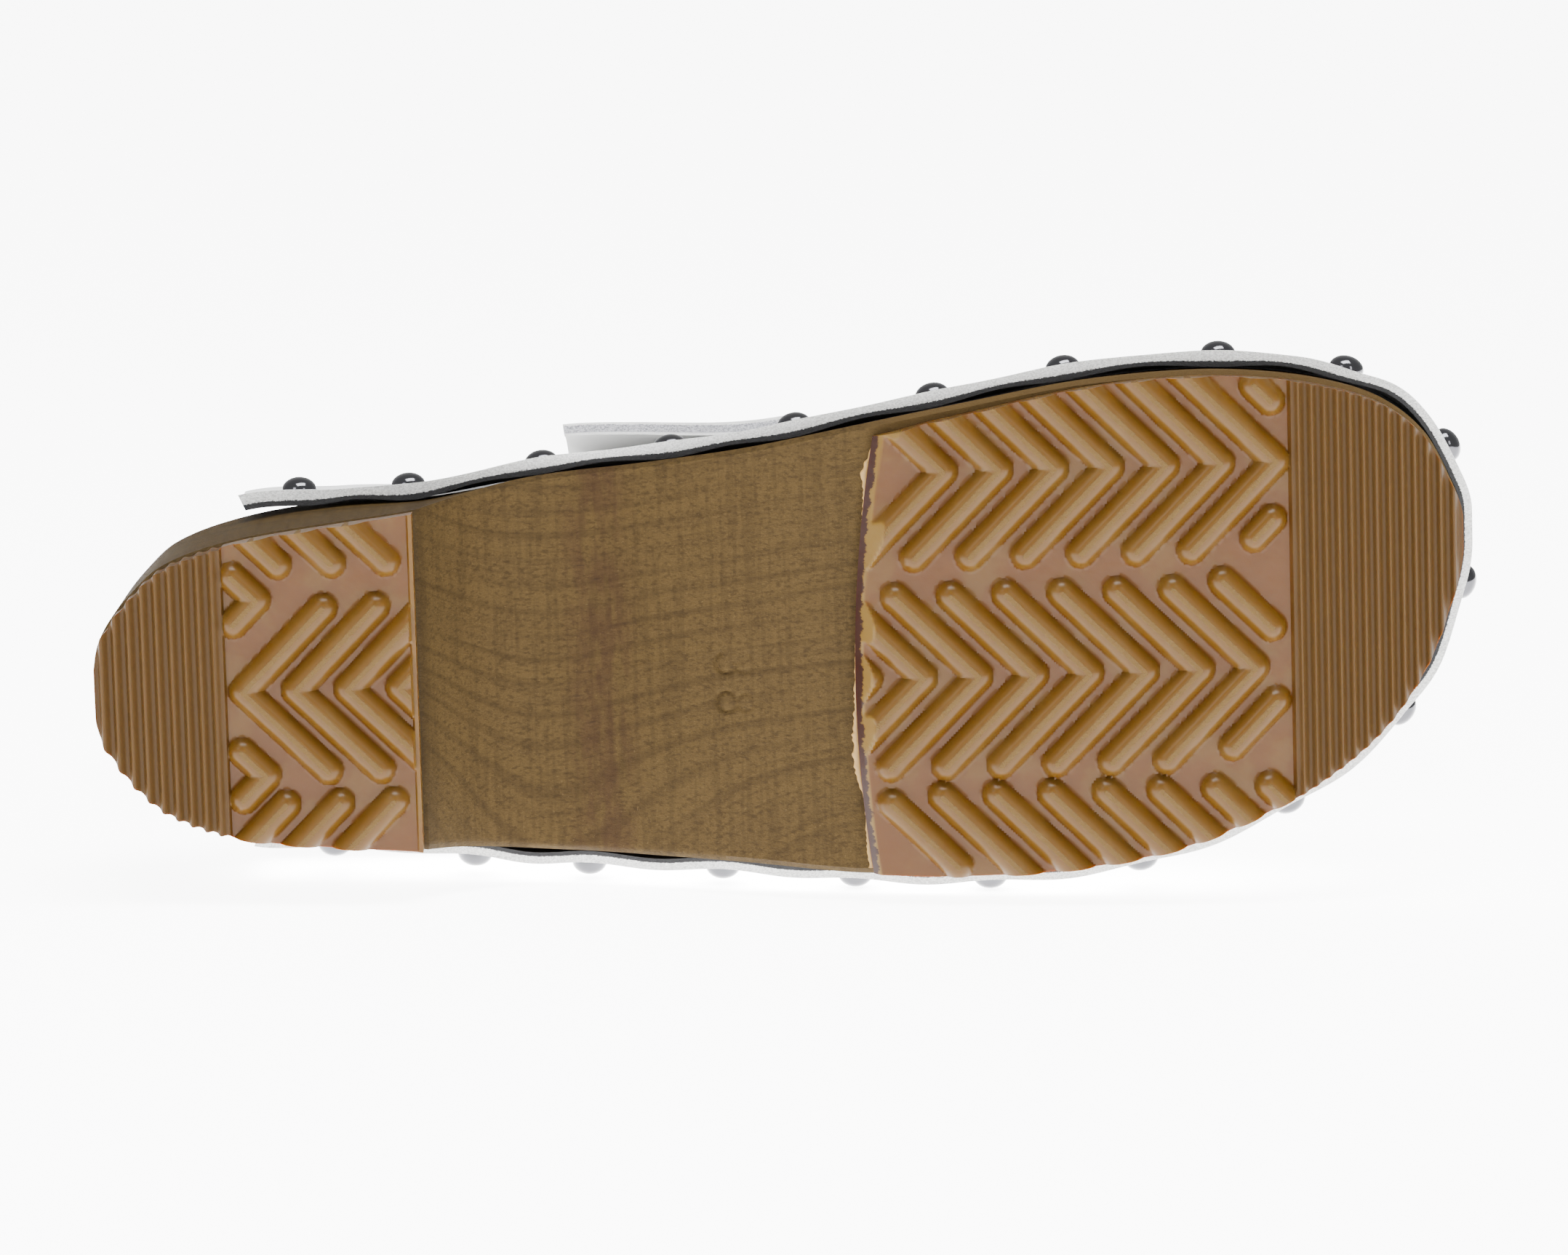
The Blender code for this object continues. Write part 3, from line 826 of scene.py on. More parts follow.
        relief = nodes.bump(lines, self.line_depth)
        relief = nodes.bump(fibre, self.fibre_depth, relief)
        nodes.principled(
            Base_Color=colour,
            Roughness=self.roughness,
            Normal=relief,
            Specular_IOR_Level=0.05,
        )
        return nodes.material


@dataclass(frozen=True)
class RubberFinish:
    """Amber crepe rubber: soft flanks, worn rough tops, a pinkish ground, painted shade at the
    bars' feet and a little painted shade in the rib valleys.
    """

    ground: tuple = rubber_tone(144, 88, 30)
    ground_amber: tuple = rubber_tone(146, 95, 32)
    flank: tuple = rubber_tone(148, 102, 34)
    # Painted shade for the foot of the bars, where flank meets ground
    foot: tuple = rubber_tone(102, 66, 30)
    amber: tuple = rubber_tone(158, 118, 56)
    crown: tuple = rubber_tone(162, 124, 56)
    # Painted shade for the rib valleys
    valley: tuple = rubber_tone(122, 84, 30)
    ridge: tuple = rubber_tone(126, 88, 31)
    pale: tuple = rubber_tone(184, 142, 62)
    stain: tuple = rubber_tone(78, 36, 20)
    foot_shade_strength: float = 0.15
    amber_strength: float = 0.3
    worn_strength: float = 0.8
    stain_reach: float = 1.25
    skin_depth: float = 0.25
    grit_depth: float = 0.16
    smooth: float = 0.33
    rougher: float = 0.35

    def make(self) -> bpy.types.Material:
        """Build the material.

        Returns:
            The rubber. It reads raised, crown, ribs, cut and rear on the points.
        """
        nodes = Nodes("rubber_crepe")
        raised, crown = nodes.value("raised"), nodes.value("crown")
        ribs, cut = nodes.value("ribs"), nodes.value("cut")
        cloud = nodes.noise(nodes.shoe(), 0.12, 3.0)
        grit = nodes.noise(nodes.shoe(), 2.8, 3.0, 0.7)

        ground = nodes.blend(nodes.span(cloud, 0.35, 0.7), self.ground, self.ground_amber)
        colour = nodes.blend(nodes.span(raised, 0.02, 0.3), ground, self.flank)
        # Painted shade: a darker ring low on each bar's flank, where it meets the ground
        foot = nodes.times(nodes.band(raised, 0.03, 0.12, 0.05), self.foot_shade_strength)
        colour = nodes.blend(foot, colour, self.foot)
        amber = nodes.times(nodes.span(cloud, 0.5, 0.62), self.amber_strength)
        colour = nodes.blend(amber, colour, self.amber)
        ragged = nodes.math("ADD", crown, nodes.times(grit, 0.5))
        worn = nodes.span(ragged, 0.62, 1.0)
        # Painted shade: the rib valleys are coloured a little darker than the ridges
        wave = nodes.blend(nodes.span(raised, 0.55, 1.0), self.valley, self.ridge)
        colour = nodes.blend(nodes.times(worn, self.worn_strength), colour, self.crown)
        colour = nodes.blend(ribs, colour, wave)
        colour = nodes.blend(cut, colour, self.pale)
        x, y, _ = nodes.axes(nodes.shoe())
        bite = nodes.noise(nodes.combine(nodes.times(x, 0.6), y, 0.0), 0.55, 5.0, 0.7)
        bite = nodes.times(bite, self.stain_reach)
        stained = nodes.math("SUBTRACT", nodes.value("rear"), bite)
        colour = nodes.blend(nodes.span(stained, -0.1, 0.05), colour, self.stain)

        skin = nodes.bump(cloud, self.skin_depth)
        rough = nodes.times(grit, nodes.math("ADD", worn, 0.12))
        relief = nodes.bump(rough, self.grit_depth, skin)
        gloss = nodes.math("ADD", nodes.times(worn, self.rougher), self.smooth)
        gloss = nodes.math("ADD", gloss, nodes.times(ribs, self.rougher))
        nodes.principled(
            Base_Color=colour,
            Roughness=gloss,
            Normal=relief,
            Subsurface_Weight=0.3,
            Subsurface_Radius=(1.0, 0.45, 0.15),
            Subsurface_Scale=0.002,
            Specular_IOR_Level=0.12,
            Coat_Weight=0.06,
            Coat_Roughness=0.2,
        )
        return nodes.material


@dataclass(frozen=True)
class LeatherFinish:
    """Smooth white leather with a fine grain."""

    colour: tuple = (0.86, 0.86, 0.85, 1.0)
    roughness: float = 0.42
    pore_depth: float = 0.05

    def make(self) -> bpy.types.Material:
        """Build the material.

        Returns:
            The leather's face.
        """
        nodes = Nodes("leather_white")
        pores = nodes.noise(nodes.shoe(), 1.6, 5.0, 0.6)
        cloud = nodes.noise(nodes.shoe(), 0.05, 2.0)
        colour = nodes.blend(nodes.span(cloud, 0.3, 0.7), self.colour, LEATHER_SHADE)
        nodes.principled(
            Base_Color=colour,
            Roughness=self.roughness,
            Normal=nodes.bump(pores, self.pore_depth),
            Coat_Weight=0.12,
            Coat_Roughness=0.3,
        )
        return nodes.material


@dataclass(frozen=True)
class CutEdgeFinish:
    """Fibrous cut edge, whose layers go by the share of the thickness."""

    name: str
    inner_layer: tuple
    inner_share: float
    core_light: tuple
    core_dark: tuple
    outer_share: float
    soft: float = 0.03
    wander: float = 0.25
    fuzz_depth: float = 0.3

    def make(self) -> bpy.types.Material:
        """Build the material.

        Returns:
            The cut edge. It reads through on the points, 0 inside and 1 outside.
        """
        nodes = Nodes(self.name)
        through = nodes.value("through")
        fuzz = nodes.noise(nodes.shoe(1.0, 1.6, 1.6), 2.4, 4.0, 0.7)
        wander = nodes.times(nodes.math("SUBTRACT", fuzz, 0.5), self.wander)
        layer = nodes.math("ADD", through, wander)
        core = nodes.blend(nodes.span(fuzz, 0.36, 0.62), self.core_dark, self.core_light)
        inside = nodes.span(layer, self.inner_share + self.soft, self.inner_share - self.soft)
        colour = nodes.blend(inside, core, self.inner_layer)
        outside = nodes.span(layer, self.outer_share - self.soft, self.outer_share + self.soft)
        colour = nodes.blend(outside, colour, LEATHER_SHADE)
        relief = nodes.bump(fuzz, self.fuzz_depth)
        nodes.principled(Base_Color=colour, Roughness=0.9, Normal=relief)
        return nodes.material


@dataclass(frozen=True)
class PlainFinish:
    """A plain finish with a light mottle."""

    name: str
    colour: tuple
    roughness: float
    metallic: float = 0.0
    coat: float = 0.0
    relief: float = 0.0
    glow: float = 0.0

    def make(self) -> bpy.types.Material:
        """Build the material.

        Returns:
            The finish.
        """
        nodes = Nodes(self.name)
        if self.relief:
            nodes.principled(Normal=nodes.bump(nodes.noise(nodes.shoe(), 1.4), self.relief))
        nodes.principled(
            Base_Color=self.colour,
            Roughness=self.roughness,
            Metallic=self.metallic,
            Coat_Weight=self.coat,
            Emission_Color=self.colour,
            Emission_Strength=self.glow,
        )
        return nodes.material


def arc(
    centre: tuple, radius: float, start: float, end: float, count: int = 40
) -> np.ndarray:
    """Points on an arc, from one angle to another in degrees."""
    angles = np.radians(np.linspace(start, end, count))
    return np.stack((centre[0] + radius * np.cos(angles), centre[1] + radius * np.sin(angles)), 1)


@dataclass(frozen=True)
class SizeNumber:
    """Plain figures pressed into the arch, with their tops towards the toe."""

    x: float = 117.9
    y_three: float = -1.2
    y_eight: float = 6.1
    radius: float = 1.75
    stroke: float = 0.4
    depth: float = 0.5
    faint: float = 0.35
    fade_width: float = 6.0

    def groove(self, x: np.ndarray, y: np.ndarray) -> np.ndarray:
        """Depth of the pressed strokes at places on the underside.

        Args:
            x: Places along the sole.
            y: Places across it.

        Returns:
            Depths in millimetres.
        """
        r = self.radius
        three = [arc((0.0, r), r, 150.0, -90.0), arc((0.0, -r), 1.1 * r, 90.0, -150.0)]
        eight = [arc((0.0, r), 0.9 * r, 0.0, 360.0), arc((0.0, -r), 1.05 * r, 0.0, 360.0)]
        near = np.full(np.shape(x), FAR)
        for centre, strokes in ((self.y_three, three), (self.y_eight, eight)):
            for right, up in np.vstack(strokes):
                near = np.minimum(near, np.hypot(x - self.x - up, y - centre - right))
        fade = mix(1.0, self.faint, ease((x - self.x) / self.fade_width + 0.5))
        return self.depth * fade * np.exp(-((near / self.stroke) ** 2))


@dataclass
class WoodenSole:
    """Carved sole: underside with arch, side walls, rounded rim and cupped footbed."""

    finish: WoodFinish
    number: SizeNumber
    chamfer: float = 1.0
    rim_round: float = 2.6
    stations: int = 260
    breast: tuple = (ARCH_START, 66.0, 24)
    figures: tuple = (113.5, 122.5, 0.28)
    columns: tuple = ((0.0, 0.43, 30), (0.435, 0.66, 64), (0.665, 1.0, 30))

    def station_turns(self) -> np.ndarray:
        """Turns of the sections, closest together behind the heel and at the number.

        Returns:
            The turns from heel to toe.
        """
        even = np.linspace(0.0, math.pi, self.stations)
        breast = turn_at(np.linspace(*self.breast))
        number = turn_at(np.arange(*self.figures))
        return np.unique(np.concatenate((even, breast, number)).round(5))

    def rings(self) -> np.ndarray:
        """Closed sections of the sole, one to each station.

        Returns:
            Points, a row for each section.
        """
        turn = self.station_turns()[:, None]
        along = along_at(turn)
        share = np.concatenate([np.linspace(*column) for column in self.columns])
        x, inner = FORM.edge(turn, Side.INNER, -self.chamfer)
        outer = FORM.edge(turn, Side.OUTER, -self.chamfer)[1]
        y = mix(inner, outer, share)
        lowest = FORM.underside(x) + self.number.groove(x + 0.0 * y, y)
        under = join_axes(x, y, lowest)

        rim, low = RIM.at(along), FORM.underside(along)
        lift = np.linspace(0.0, 1.0, 14)
        angle = np.radians(np.linspace(15.0, 90.0, 6))
        sides = {}
        for side in Side:
            height = mix(low + self.chamfer, rim - self.rim_round, lift)
            wall = FORM.wall(turn, side, height)
            height = rim - self.rim_round * (1.0 - np.sin(angle))
            shoulder = FORM.wall(turn, side, height, -self.rim_round * (1.0 - np.cos(angle)))
            sides[side] = np.concatenate((wall, shoulder), axis=1)
        across = np.linspace(1.0, -1.0, 32)[1:-1]
        far, near = sides[Side.OUTER][:, -1:], sides[Side.INNER][:, -1:]
        bed = near + (far - near) * ((across + 1.0) / 2.0)[None, :, None]
        bed[..., 2] -= CUP.at(along) * (1.0 - across**2)
        return np.concatenate((under, sides[Side.OUTER], bed, sides[Side.INNER][:, ::-1]), axis=1)

    def build(self) -> None:
        """Build and dress the sole."""
        surface = Surface.empty()
        rows = surface.add_points(self.rings())
        surface.add_quads(rows, closed=True)
        surface.add_face(rows[0])
        surface.add_face(rows[-1])
        piece = surface.build("sole_wood", [self.finish.make()])
        declare(piece, "wood", "wooden_sole")


@dataclass(frozen=True)
class Bars:
    """A row of tread bars: path of the first as X and Y steps, and how it repeats."""

    first: float
    count: int
    pitch: float
    centre: float
    steps: tuple

    def segments(self) -> list:
        """Straight lines of all the row's bars.

        Returns:
            Start and end of each line.
        """
        lines = []
        for i in range(self.count):
            start = np.array((self.first + i * self.pitch, self.centre))
            for step in self.steps:
                lines.append((start, start + np.array(step)))
        return lines


def chevrons(
    first: float, count: int, pitch: float, centre: float, inner: float, outer: float, points: int
) -> Bars:
    """A row of chevrons whose two arms run back from the apex."""
    steps = ((-points * inner, -inner), (-points * outer, outer))
    return Bars(first, count, pitch, centre, steps)


@dataclass
class Tread:
    """A rubber tread: round bars on a ground, waves of ribs, and its cut edge."""

    finish: bpy.types.Material
    lug: float = 2.3
    rib: float = 1.2
    half_bar: float = 2.75
    crown: float = 0.35
    border: float = 0.7
    edge_inset: float = 0.2
    flank_power: float = 2.2
    crown_power: float = 0.85
    worn_width: float = 0.7
    rib_power: float = 1.6

    def near_bars(self, x: np.ndarray, y: np.ndarray, rows: tuple) -> np.ndarray:
        """Distance of places from the nearest bar's middle line.

        Args:
            x: Places along the sole.
            y: Places across it.
            rows: The rows of bars.

        Returns:
            Distances.
        """
        near = np.full(x.shape, FAR)
        for row in rows:
            for start, end in row.segments():
                run = end - start
                share = ((x - start[0]) * run[0] + (y - start[1]) * run[1]) / run.dot(run)
                share = np.clip(share, 0.0, 1.0)
                off = np.hypot(x - start[0] - share * run[0], y - start[1] - share * run[1])
                near = np.minimum(near, off)
        return near

    def relief(self, x: np.ndarray, y: np.ndarray, rows: tuple, zone: np.ndarray) -> tuple:
        """Rounded bars inside a zone.

        Args:
            x: Places along the sole.
            y: Places across it.
            rows: The rows of bars.
            zone: Share of the bars' full height at each place.

        Returns:
            How far each place is raised and how worn its crown is, both 0 to 1.
        """
        near = self.near_bars(x, y, rows)
        flank = np.clip((near - self.crown) / (self.half_bar - self.crown), 0.0, 1.0)
        raised = (1.0 - flank**self.flank_power) ** self.crown_power * zone
        return raised, np.clip(1.25 - near / self.worn_width, 0.0, 1.0) * zone

    def waves(self, x: np.ndarray, first: float, last: float, count: int) -> np.ndarray:
        """Height of the ribs that run across the sole.

        Args:
            x: Places along the sole.
            first: Place of the first ridge.
            last: Place of the last ridge.
            count: Number of ridges.

        Returns:
            Heights from 0 in a valley to 1 on a ridge.
        """
        phase = (x - first) / (last - first) * (count - 1)
        return (0.5 + 0.5 * np.cos(2.0 * math.pi * phase)) ** self.rib_power

    def loft(self, name: str, low: np.ndarray, top: np.ndarray, values: dict) -> None:
        """Close the tread's face with its sides and its glued back.

        Args:
            name: Name of the piece.
            low: Points of the tread's face, a row for each place along the sole.
            top: Height of the glued face at each row.
            values: Values on the points of the face, by name.

        Returns:
            None.
        """
        surface = Surface.empty()
        back = low[:, [-1, 0]].copy()
        back[..., 2] = top[:, None]
        rings = np.concatenate((low, back), axis=1)
        padded = {}
        for label, numbers in values.items():
            padded[label] = np.hstack((numbers, numbers[:, [-1, 0]] * 0.5))
        rows = surface.add_points(rings, **padded)
        surface.add_quads(rows, closed=True)
        surface.add_face(rows[0])
        surface.add_face(rows[-1])
        piece = surface.build(name, [self.finish])
        declare(piece, "rubber", name.replace("tread_", "") + "_rubber")


@dataclass
class HeelTread(Tread):
    """Heel tread: ribs at the back and chevrons in front of them."""

    front: float = 59.6
    top: float = 6.0
    rib_end: float = 24.0
    notch: float = 0.35
    strip_width: float = 1.1
    strip_soft: float = 0.4
    strip_height: float = 0.5
    stations: int = 300
    across: int = 180
    ribs: tuple = (4.4, 22.6, 8)
    bars: tuple = (
        chevrons(27.7, 4, 9.6, 0.3, 15.1, 15.1, -1),
        chevrons(30.7, 1, 9.6, -16.6, 4.4, 4.4, 1),
        chevrons(31.4, 1, 9.6, 15.9, 4.4, 4.4, 1),
        Bars(34.8, 3, 9.9, -22.9, ((-9, -9),)),
        Bars(34.8, 3, 9.9, 21.4, ((-9, 9),)),
    )

    def build(self) -> None:
        """Build and dress the tread."""
        turn = np.linspace(0.0, float(turn_at(self.front)), self.stations)[:, None]
        along = along_at(turn)
        wave = self.waves(along, *self.ribs)
        ribbed = 1.0 - ease((along - self.rib_end) / self.border)
        inset = self.edge_inset + self.notch * ribbed * (1.0 - wave)
        x, inner = FORM.edge(turn, Side.INNER, -inset)
        outer = FORM.edge(turn, Side.OUTER, -inset)[1]
        x = np.minimum(x, self.front)
        x[-1] = self.front
        y = mix(inner, outer, np.linspace(0.0, 1.0, self.across))
        x = x + 0.0 * y
        strip = ease((x - self.front + self.strip_width) / self.strip_soft)
        zone = ease((x - self.rib_end) / self.border) * (1.0 - strip)
        raised, crown = self.relief(x, y, self.bars, zone)
        depth = self.lug * (1.0 - raised) - self.strip_height * strip
        depth = mix(depth, self.rib * (1.0 - wave), ribbed)
        values = {
            "raised": mix(raised, wave + 0.0 * y, ribbed),
            "crown": crown,
            "ribs": ribbed + 0.0 * y,
            "cut": 0.4 * strip,
        }
        low = join_axes(x, y, depth)
        self.loft("tread_heel", low, np.full(len(turn), self.top), values)


@dataclass
class ForefootTread(Tread):
    """Forefoot tread: chevrons, ribs round the toe and a rear edge cut at a slant."""

    rear: float = 140.0
    rear_bow: float = 3.4
    rear_middle: float = 3.0
    rear_half: float = 41.0
    bow_fade: float = 16.0
    skive: float = 3.4
    skive_more: float = 0.4
    skive_side: float = 44.0
    skive_height: float = 3.9
    skive_soft: float = 0.3
    stain_width: float = 2.6
    stations: int = 420
    across: int = 212
    top: float = 5.0
    rib_start: float = 220.8
    ribs: tuple = (222.4, 249.0, 12)
    bars: tuple = (
        chevrons(156.9, 7, 10.15, -36.6, 18, 15.8, 1),
        chevrons(142.2, 8, 10.17, 1.3, 15, 16.6, 1),
        Bars(155.3, 7, 10.05, 23.4, ((16, 16),)),
        Bars(146, 1, 10.05, 24.6, ((12, 12),)),
        Bars(217, 1, 10.15, -47.6, ((-3, -3),)),
        Bars(217, 1, 10.15, -25.9, ((-3.4, 3.4),)),
        Bars(207.6, 1, 10.17, -14.9, ((9, 9),)),
        Bars(217.2, 1, 10.17, 7.7, ((-8.2, 8.2),)),
    )

    def rear_edge(self, y: np.ndarray) -> np.ndarray:
        """Place along the sole of the bowed rear edge."""
        return self.rear + self.rear_bow * ((y - self.rear_middle) / self.rear_half) ** 2

    def build(self) -> None:
        """Build and dress the tread."""
        turn = np.linspace(float(turn_at(self.rear)), math.pi, self.stations)[:, None]
        along = along_at(turn)
        wave = self.waves(along, *self.ribs)
        x, inner = FORM.edge(turn, Side.INNER, -INNER_INSET.at(along))
        outer = FORM.edge(turn, Side.OUTER, -self.edge_inset)[1]
        y = mix(inner, outer, np.linspace(0.0, 1.0, self.across))
        fade = 1.0 - ease((x - self.rear) / self.bow_fade)
        bow = (self.rear_edge(y) - self.rear) * fade
        x = x + bow
        ribbed = ease((x - self.rib_start + self.border) / self.border)
        raised, crown = self.relief(x, y, self.bars, 1.0 - ribbed)
        depth = mix(self.lug * (1.0 - raised), self.rib * (1.0 - wave), ribbed)
        behind = x - self.rear_edge(y)
        reach = self.skive * (1.0 + self.skive_more * ease(-y / self.skive_side))
        slant = self.skive_height * (1.0 - behind / reach)
        cut = ease((slant - depth) / self.skive_soft + 0.5)
        depth = np.maximum(depth, slant) + FORM.spring(x)
        values = {
            "raised": mix(raised * (1.0 - cut), wave + 0.0 * y, ribbed),
            "crown": crown * (1.0 - cut),
            "ribs": ribbed,
            "cut": cut,
            "rear": np.clip(1.0 - behind / self.stain_width, 0.0, 1.0),
        }
        low = join_axes(x, y, depth)
        self.loft("tread_forefoot", low, self.top + FORM.spring(along[:, 0]), values)


@dataclass
class GlueLine:
    """Dried glue squeezed out along the forefoot tread's rear edge."""

    tread: ForefootTread
    finish: PlainFinish
    inner: float = -42.5
    outer: float = 37.0
    margin: float = 0.25
    height: float = 0.3
    least: float = 0.1
    fine_share: float = 0.7
    coarse_share: float = 1.1
    fine_count: int = 160
    coarse_count: int = 14
    noise_ends: tuple = (-43.0, 38.0)
    sunk: float = 0.02
    back: float = 0.15
    stations: int = 320
    rows: int = 7
    seed: int = 5

    def build(self) -> None:
        """Build and dress the glue."""
        y = np.linspace(self.inner, self.outer, self.stations)[:, None]
        random = np.random.default_rng(self.seed)
        rough = random.uniform(0.0, 1.0, 200)
        fine_places = np.linspace(*self.noise_ends, self.fine_count)
        fine = np.interp(y, fine_places, rough[: self.fine_count])
        rough = random.uniform(0.0, 1.0, 200)
        coarse_places = np.linspace(*self.noise_ends, self.coarse_count)
        coarse = np.interp(y, coarse_places, rough[: self.coarse_count])
        wide = self.least + self.fine_share * fine * coarse + self.coarse_share * coarse**2
        share = np.linspace(0.0, 1.0, self.rows)
        edge = self.tread.rear_edge(y)
        x = edge + self.margin - wide * share
        crown = self.height * np.sqrt(np.clip(1.0 - (2.0 * share - 1.0) ** 2, 0.0, 1.0))
        z = FORM.underside(x) + self.sunk - crown
        surface = Surface.empty()
        rows = surface.add_points(join_axes(x, y, z))
        surface.add_quads(rows)
        back = join_axes(x, y, FORM.underside(x) + self.back)
        hidden = surface.add_points(back[:, [-1, 0]])
        surface.add_quads(np.hstack((rows[:, -1:], hidden, rows[:, :1])))
        for end in (0, -1):
            surface.add_face(np.concatenate((rows[end], hidden[end])))
        piece = surface.build("glue_line", [self.finish.make()])
        declare(piece, "rubber")


@dataclass
class Upper:
    """One hollow leather wall with a closed toe, an open back and a wavy lower edge."""

    face: bpy.types.Material
    cut_edge: bpy.types.Material
    lining: bpy.types.Material
    thickness: float = LEATHER
    cover: float = 12.0
    wing_end: float = 28.0
    wing_start: float = 46.0
    wing_flare: float = 1.8
    throat: float = 98.0
    wave: float = 0.8
    lip: float = 1.0
    lip_end: float = 238.0
    lip_fade: float = 20.0
    stations: int = 190
    wall_rows: int = 12
    arch_rows: int = 46
    creases: tuple = ((168.0, 0.7, 5.0), (181.0, 1.0, 6.0), (194.0, 0.6, 5.0))

    def spread(self, along: np.ndarray) -> np.ndarray:
        """How far the rear ends stand off the wood."""
        length = self.wing_start - self.wing_end
        return self.wing_flare * ease((self.wing_start - along) / length)

    def ripple(self, along: np.ndarray, side: Side) -> np.ndarray:
        """How far the lower edge stands out between nails.

        Args:
            along: Places along the sole.
            side: Side of the foot.

        Returns:
            0 at each nail, up to 1 halfway to the next.
        """
        nails = np.sort(np.array(NAILS[side], float))
        count = np.interp(along, nails, np.arange(len(nails)))
        return 0.5 - 0.5 * np.cos(2.0 * math.pi * count)

    def skin(self, turn: np.ndarray, side: Side, grow: float) -> np.ndarray:
        """One side of the leather's inner or outer face, from its lower edge up.

        Args:
            turn: Turns of the sections, as a column.
            side: Side of the foot.
            grow: Distance from the wood.

        Returns:
            Points, a row for each section.
        """
        along = along_at(turn)
        rim = RIM.at(along)
        share = np.linspace(1.0, 0.0, self.wall_rows)
        free = ease((share - 0.5) / 0.5)
        ripple = self.ripple(along, side)
        edge = self.wave * ripple
        if side is Side.INNER and grow > GAP:
            fade = ease((self.lip_end - along) / self.lip_fade)
            edge = edge + self.lip * (1.0 - ripple) * fade
        out = grow + self.spread(along) + edge * free
        wall = FORM.wall(turn, side, rim - self.cover * share, out)
        end = FORM.angle_at(along, COLLAR.at(along) - rim)
        end = np.where(along > COLLAR_FRONT, math.pi / 2, end)
        angle = end * np.linspace(0.0, 1.0, self.arch_rows)[1:]
        trough = np.zeros_like(along)
        for place, depth, width in self.creases:
            trough = trough + depth * np.exp(-(((along - place) / width) ** 2))
        out = grow + self.spread(along) - trough * np.sin(angle) ** 2
        arch = FORM.over_foot(turn, side, angle, out)
        return np.concatenate((wall, arch), axis=1)

    def build(self) -> None:
        """Build and dress the upper."""
        even = np.linspace(float(turn_at(self.wing_end)), math.pi, self.stations)
        throat = turn_at(np.arange(self.throat, COLLAR_FRONT, 0.5))
        turn = np.unique(np.concatenate((even, throat)).round(5))[:, None]
        along = along_at(turn)[:, 0]
        rim = RIM.at(along)
        ends = FORM.angle_at(along, COLLAR.at(along) - rim)
        is_open = (along <= COLLAR_FRONT) & (ends < math.pi / 2 - 1e-6)
        last_open = int(np.nonzero(is_open)[0][-1]) + 1
        surface = Surface.empty()
        toe = []
        for side in Side:
            outside = self.skin(turn, side, GAP + self.thickness)
            inside = self.skin(turn, side, GAP)
            outer = surface.add_points(outside, through=1.0)
            inner = surface.add_points(inside, through=0.0)
            surface.add_quads(outer)
            surface.add_quads(inner, slot=2)
            surface.add_quads(np.stack((outer[:, 0], inner[:, 0]), axis=1), slot=1)
            lip = np.stack((outer[:, -1], inner[:, -1]), axis=1)
            surface.add_quads(lip[: last_open + 1], slot=1)
            surface.add_quads(np.stack((outer[0], inner[0]), axis=0), slot=1)
            toe.append((outer[-1], inner[-1]))
        for layer, slot in ((0, 0), (1, 2)):
            ring = np.concatenate((toe[0][layer], toe[1][layer][::-1][1:]))
            surface.add_face(ring, slot)
        low = [toe[0][0][0], toe[0][1][0], toe[1][1][0], toe[1][0][0]]
        surface.add_face(np.array(low), 1)
        piece = surface.build("upper_leather", [self.face, self.cut_edge, self.lining])
        declare(piece, "leather", "upper")


@dataclass
class InstepStrap:
    """Wide leather strap over the instep, free at its inner end."""

    face: bpy.types.Material
    cut_edge: bpy.types.Material
    clear: float = 0.5
    thickness: float = 2.5
    rear: float = 87.0
    front: float = 130.0
    drop_inner: float = 8.5
    drop_outer: float = 13.5
    lift_front: float = 0.9
    lift_rear: float = 5.6
    bend: float = 32.0
    stations: int = 40

    def skin(self, turn: np.ndarray, grow: float) -> np.ndarray:
        """One face of the strap from its free inner end to its outer end.

        Args:
            turn: Turns of the sections, as a column.
            grow: Distance from the wood.

        Returns:
            Points, a row for each section.
        """
        along = along_at(turn)
        share = np.linspace(0.0, 1.0, self.stations)
        first = FORM.angle_at(along, self.drop_inner)
        last = FORM.angle_at(along, self.drop_outer)
        inner = FORM.over_foot(turn, Side.INNER, mix(first, math.pi / 2, share), grow)
        outer = FORM.over_foot(turn, Side.OUTER, mix(math.pi / 2, last, share[1:]), grow)
        low = RIM.at(along) + self.drop_inner
        share_back = ease((self.front - along) / (self.front - self.rear))
        lift = mix(self.lift_front, self.lift_rear, share_back)
        inner[..., 1] -= lift * ease(1.0 - (inner[..., 2] - low) / self.bend)
        return np.concatenate((inner, outer), axis=1)

    def build(self) -> None:
        """Build and dress the strap."""
        turn = turn_at(np.linspace(self.rear, self.front, self.stations))[:, None]
        surface = Surface.empty()
        under = GAP + LEATHER + self.clear
        outer = surface.add_points(self.skin(turn, under + self.thickness), through=1.0)
        inner = surface.add_points(self.skin(turn, under), through=0.0)
        surface.add_quads(outer)
        surface.add_quads(inner)
        rim_outer = np.concatenate((outer[0], outer[1:, -1], outer[-1, -2::-1], outer[-2:0:-1, 0]))
        rim_inner = np.concatenate((inner[0], inner[1:, -1], inner[-1, -2::-1], inner[-2:0:-1, 0]))
        surface.add_quads(np.stack((rim_outer, rim_inner)), closed=True, slot=1)
        piece = surface.build("strap_leather", [self.face, self.cut_edge])
        declare(piece, "leather", "instep_strap")


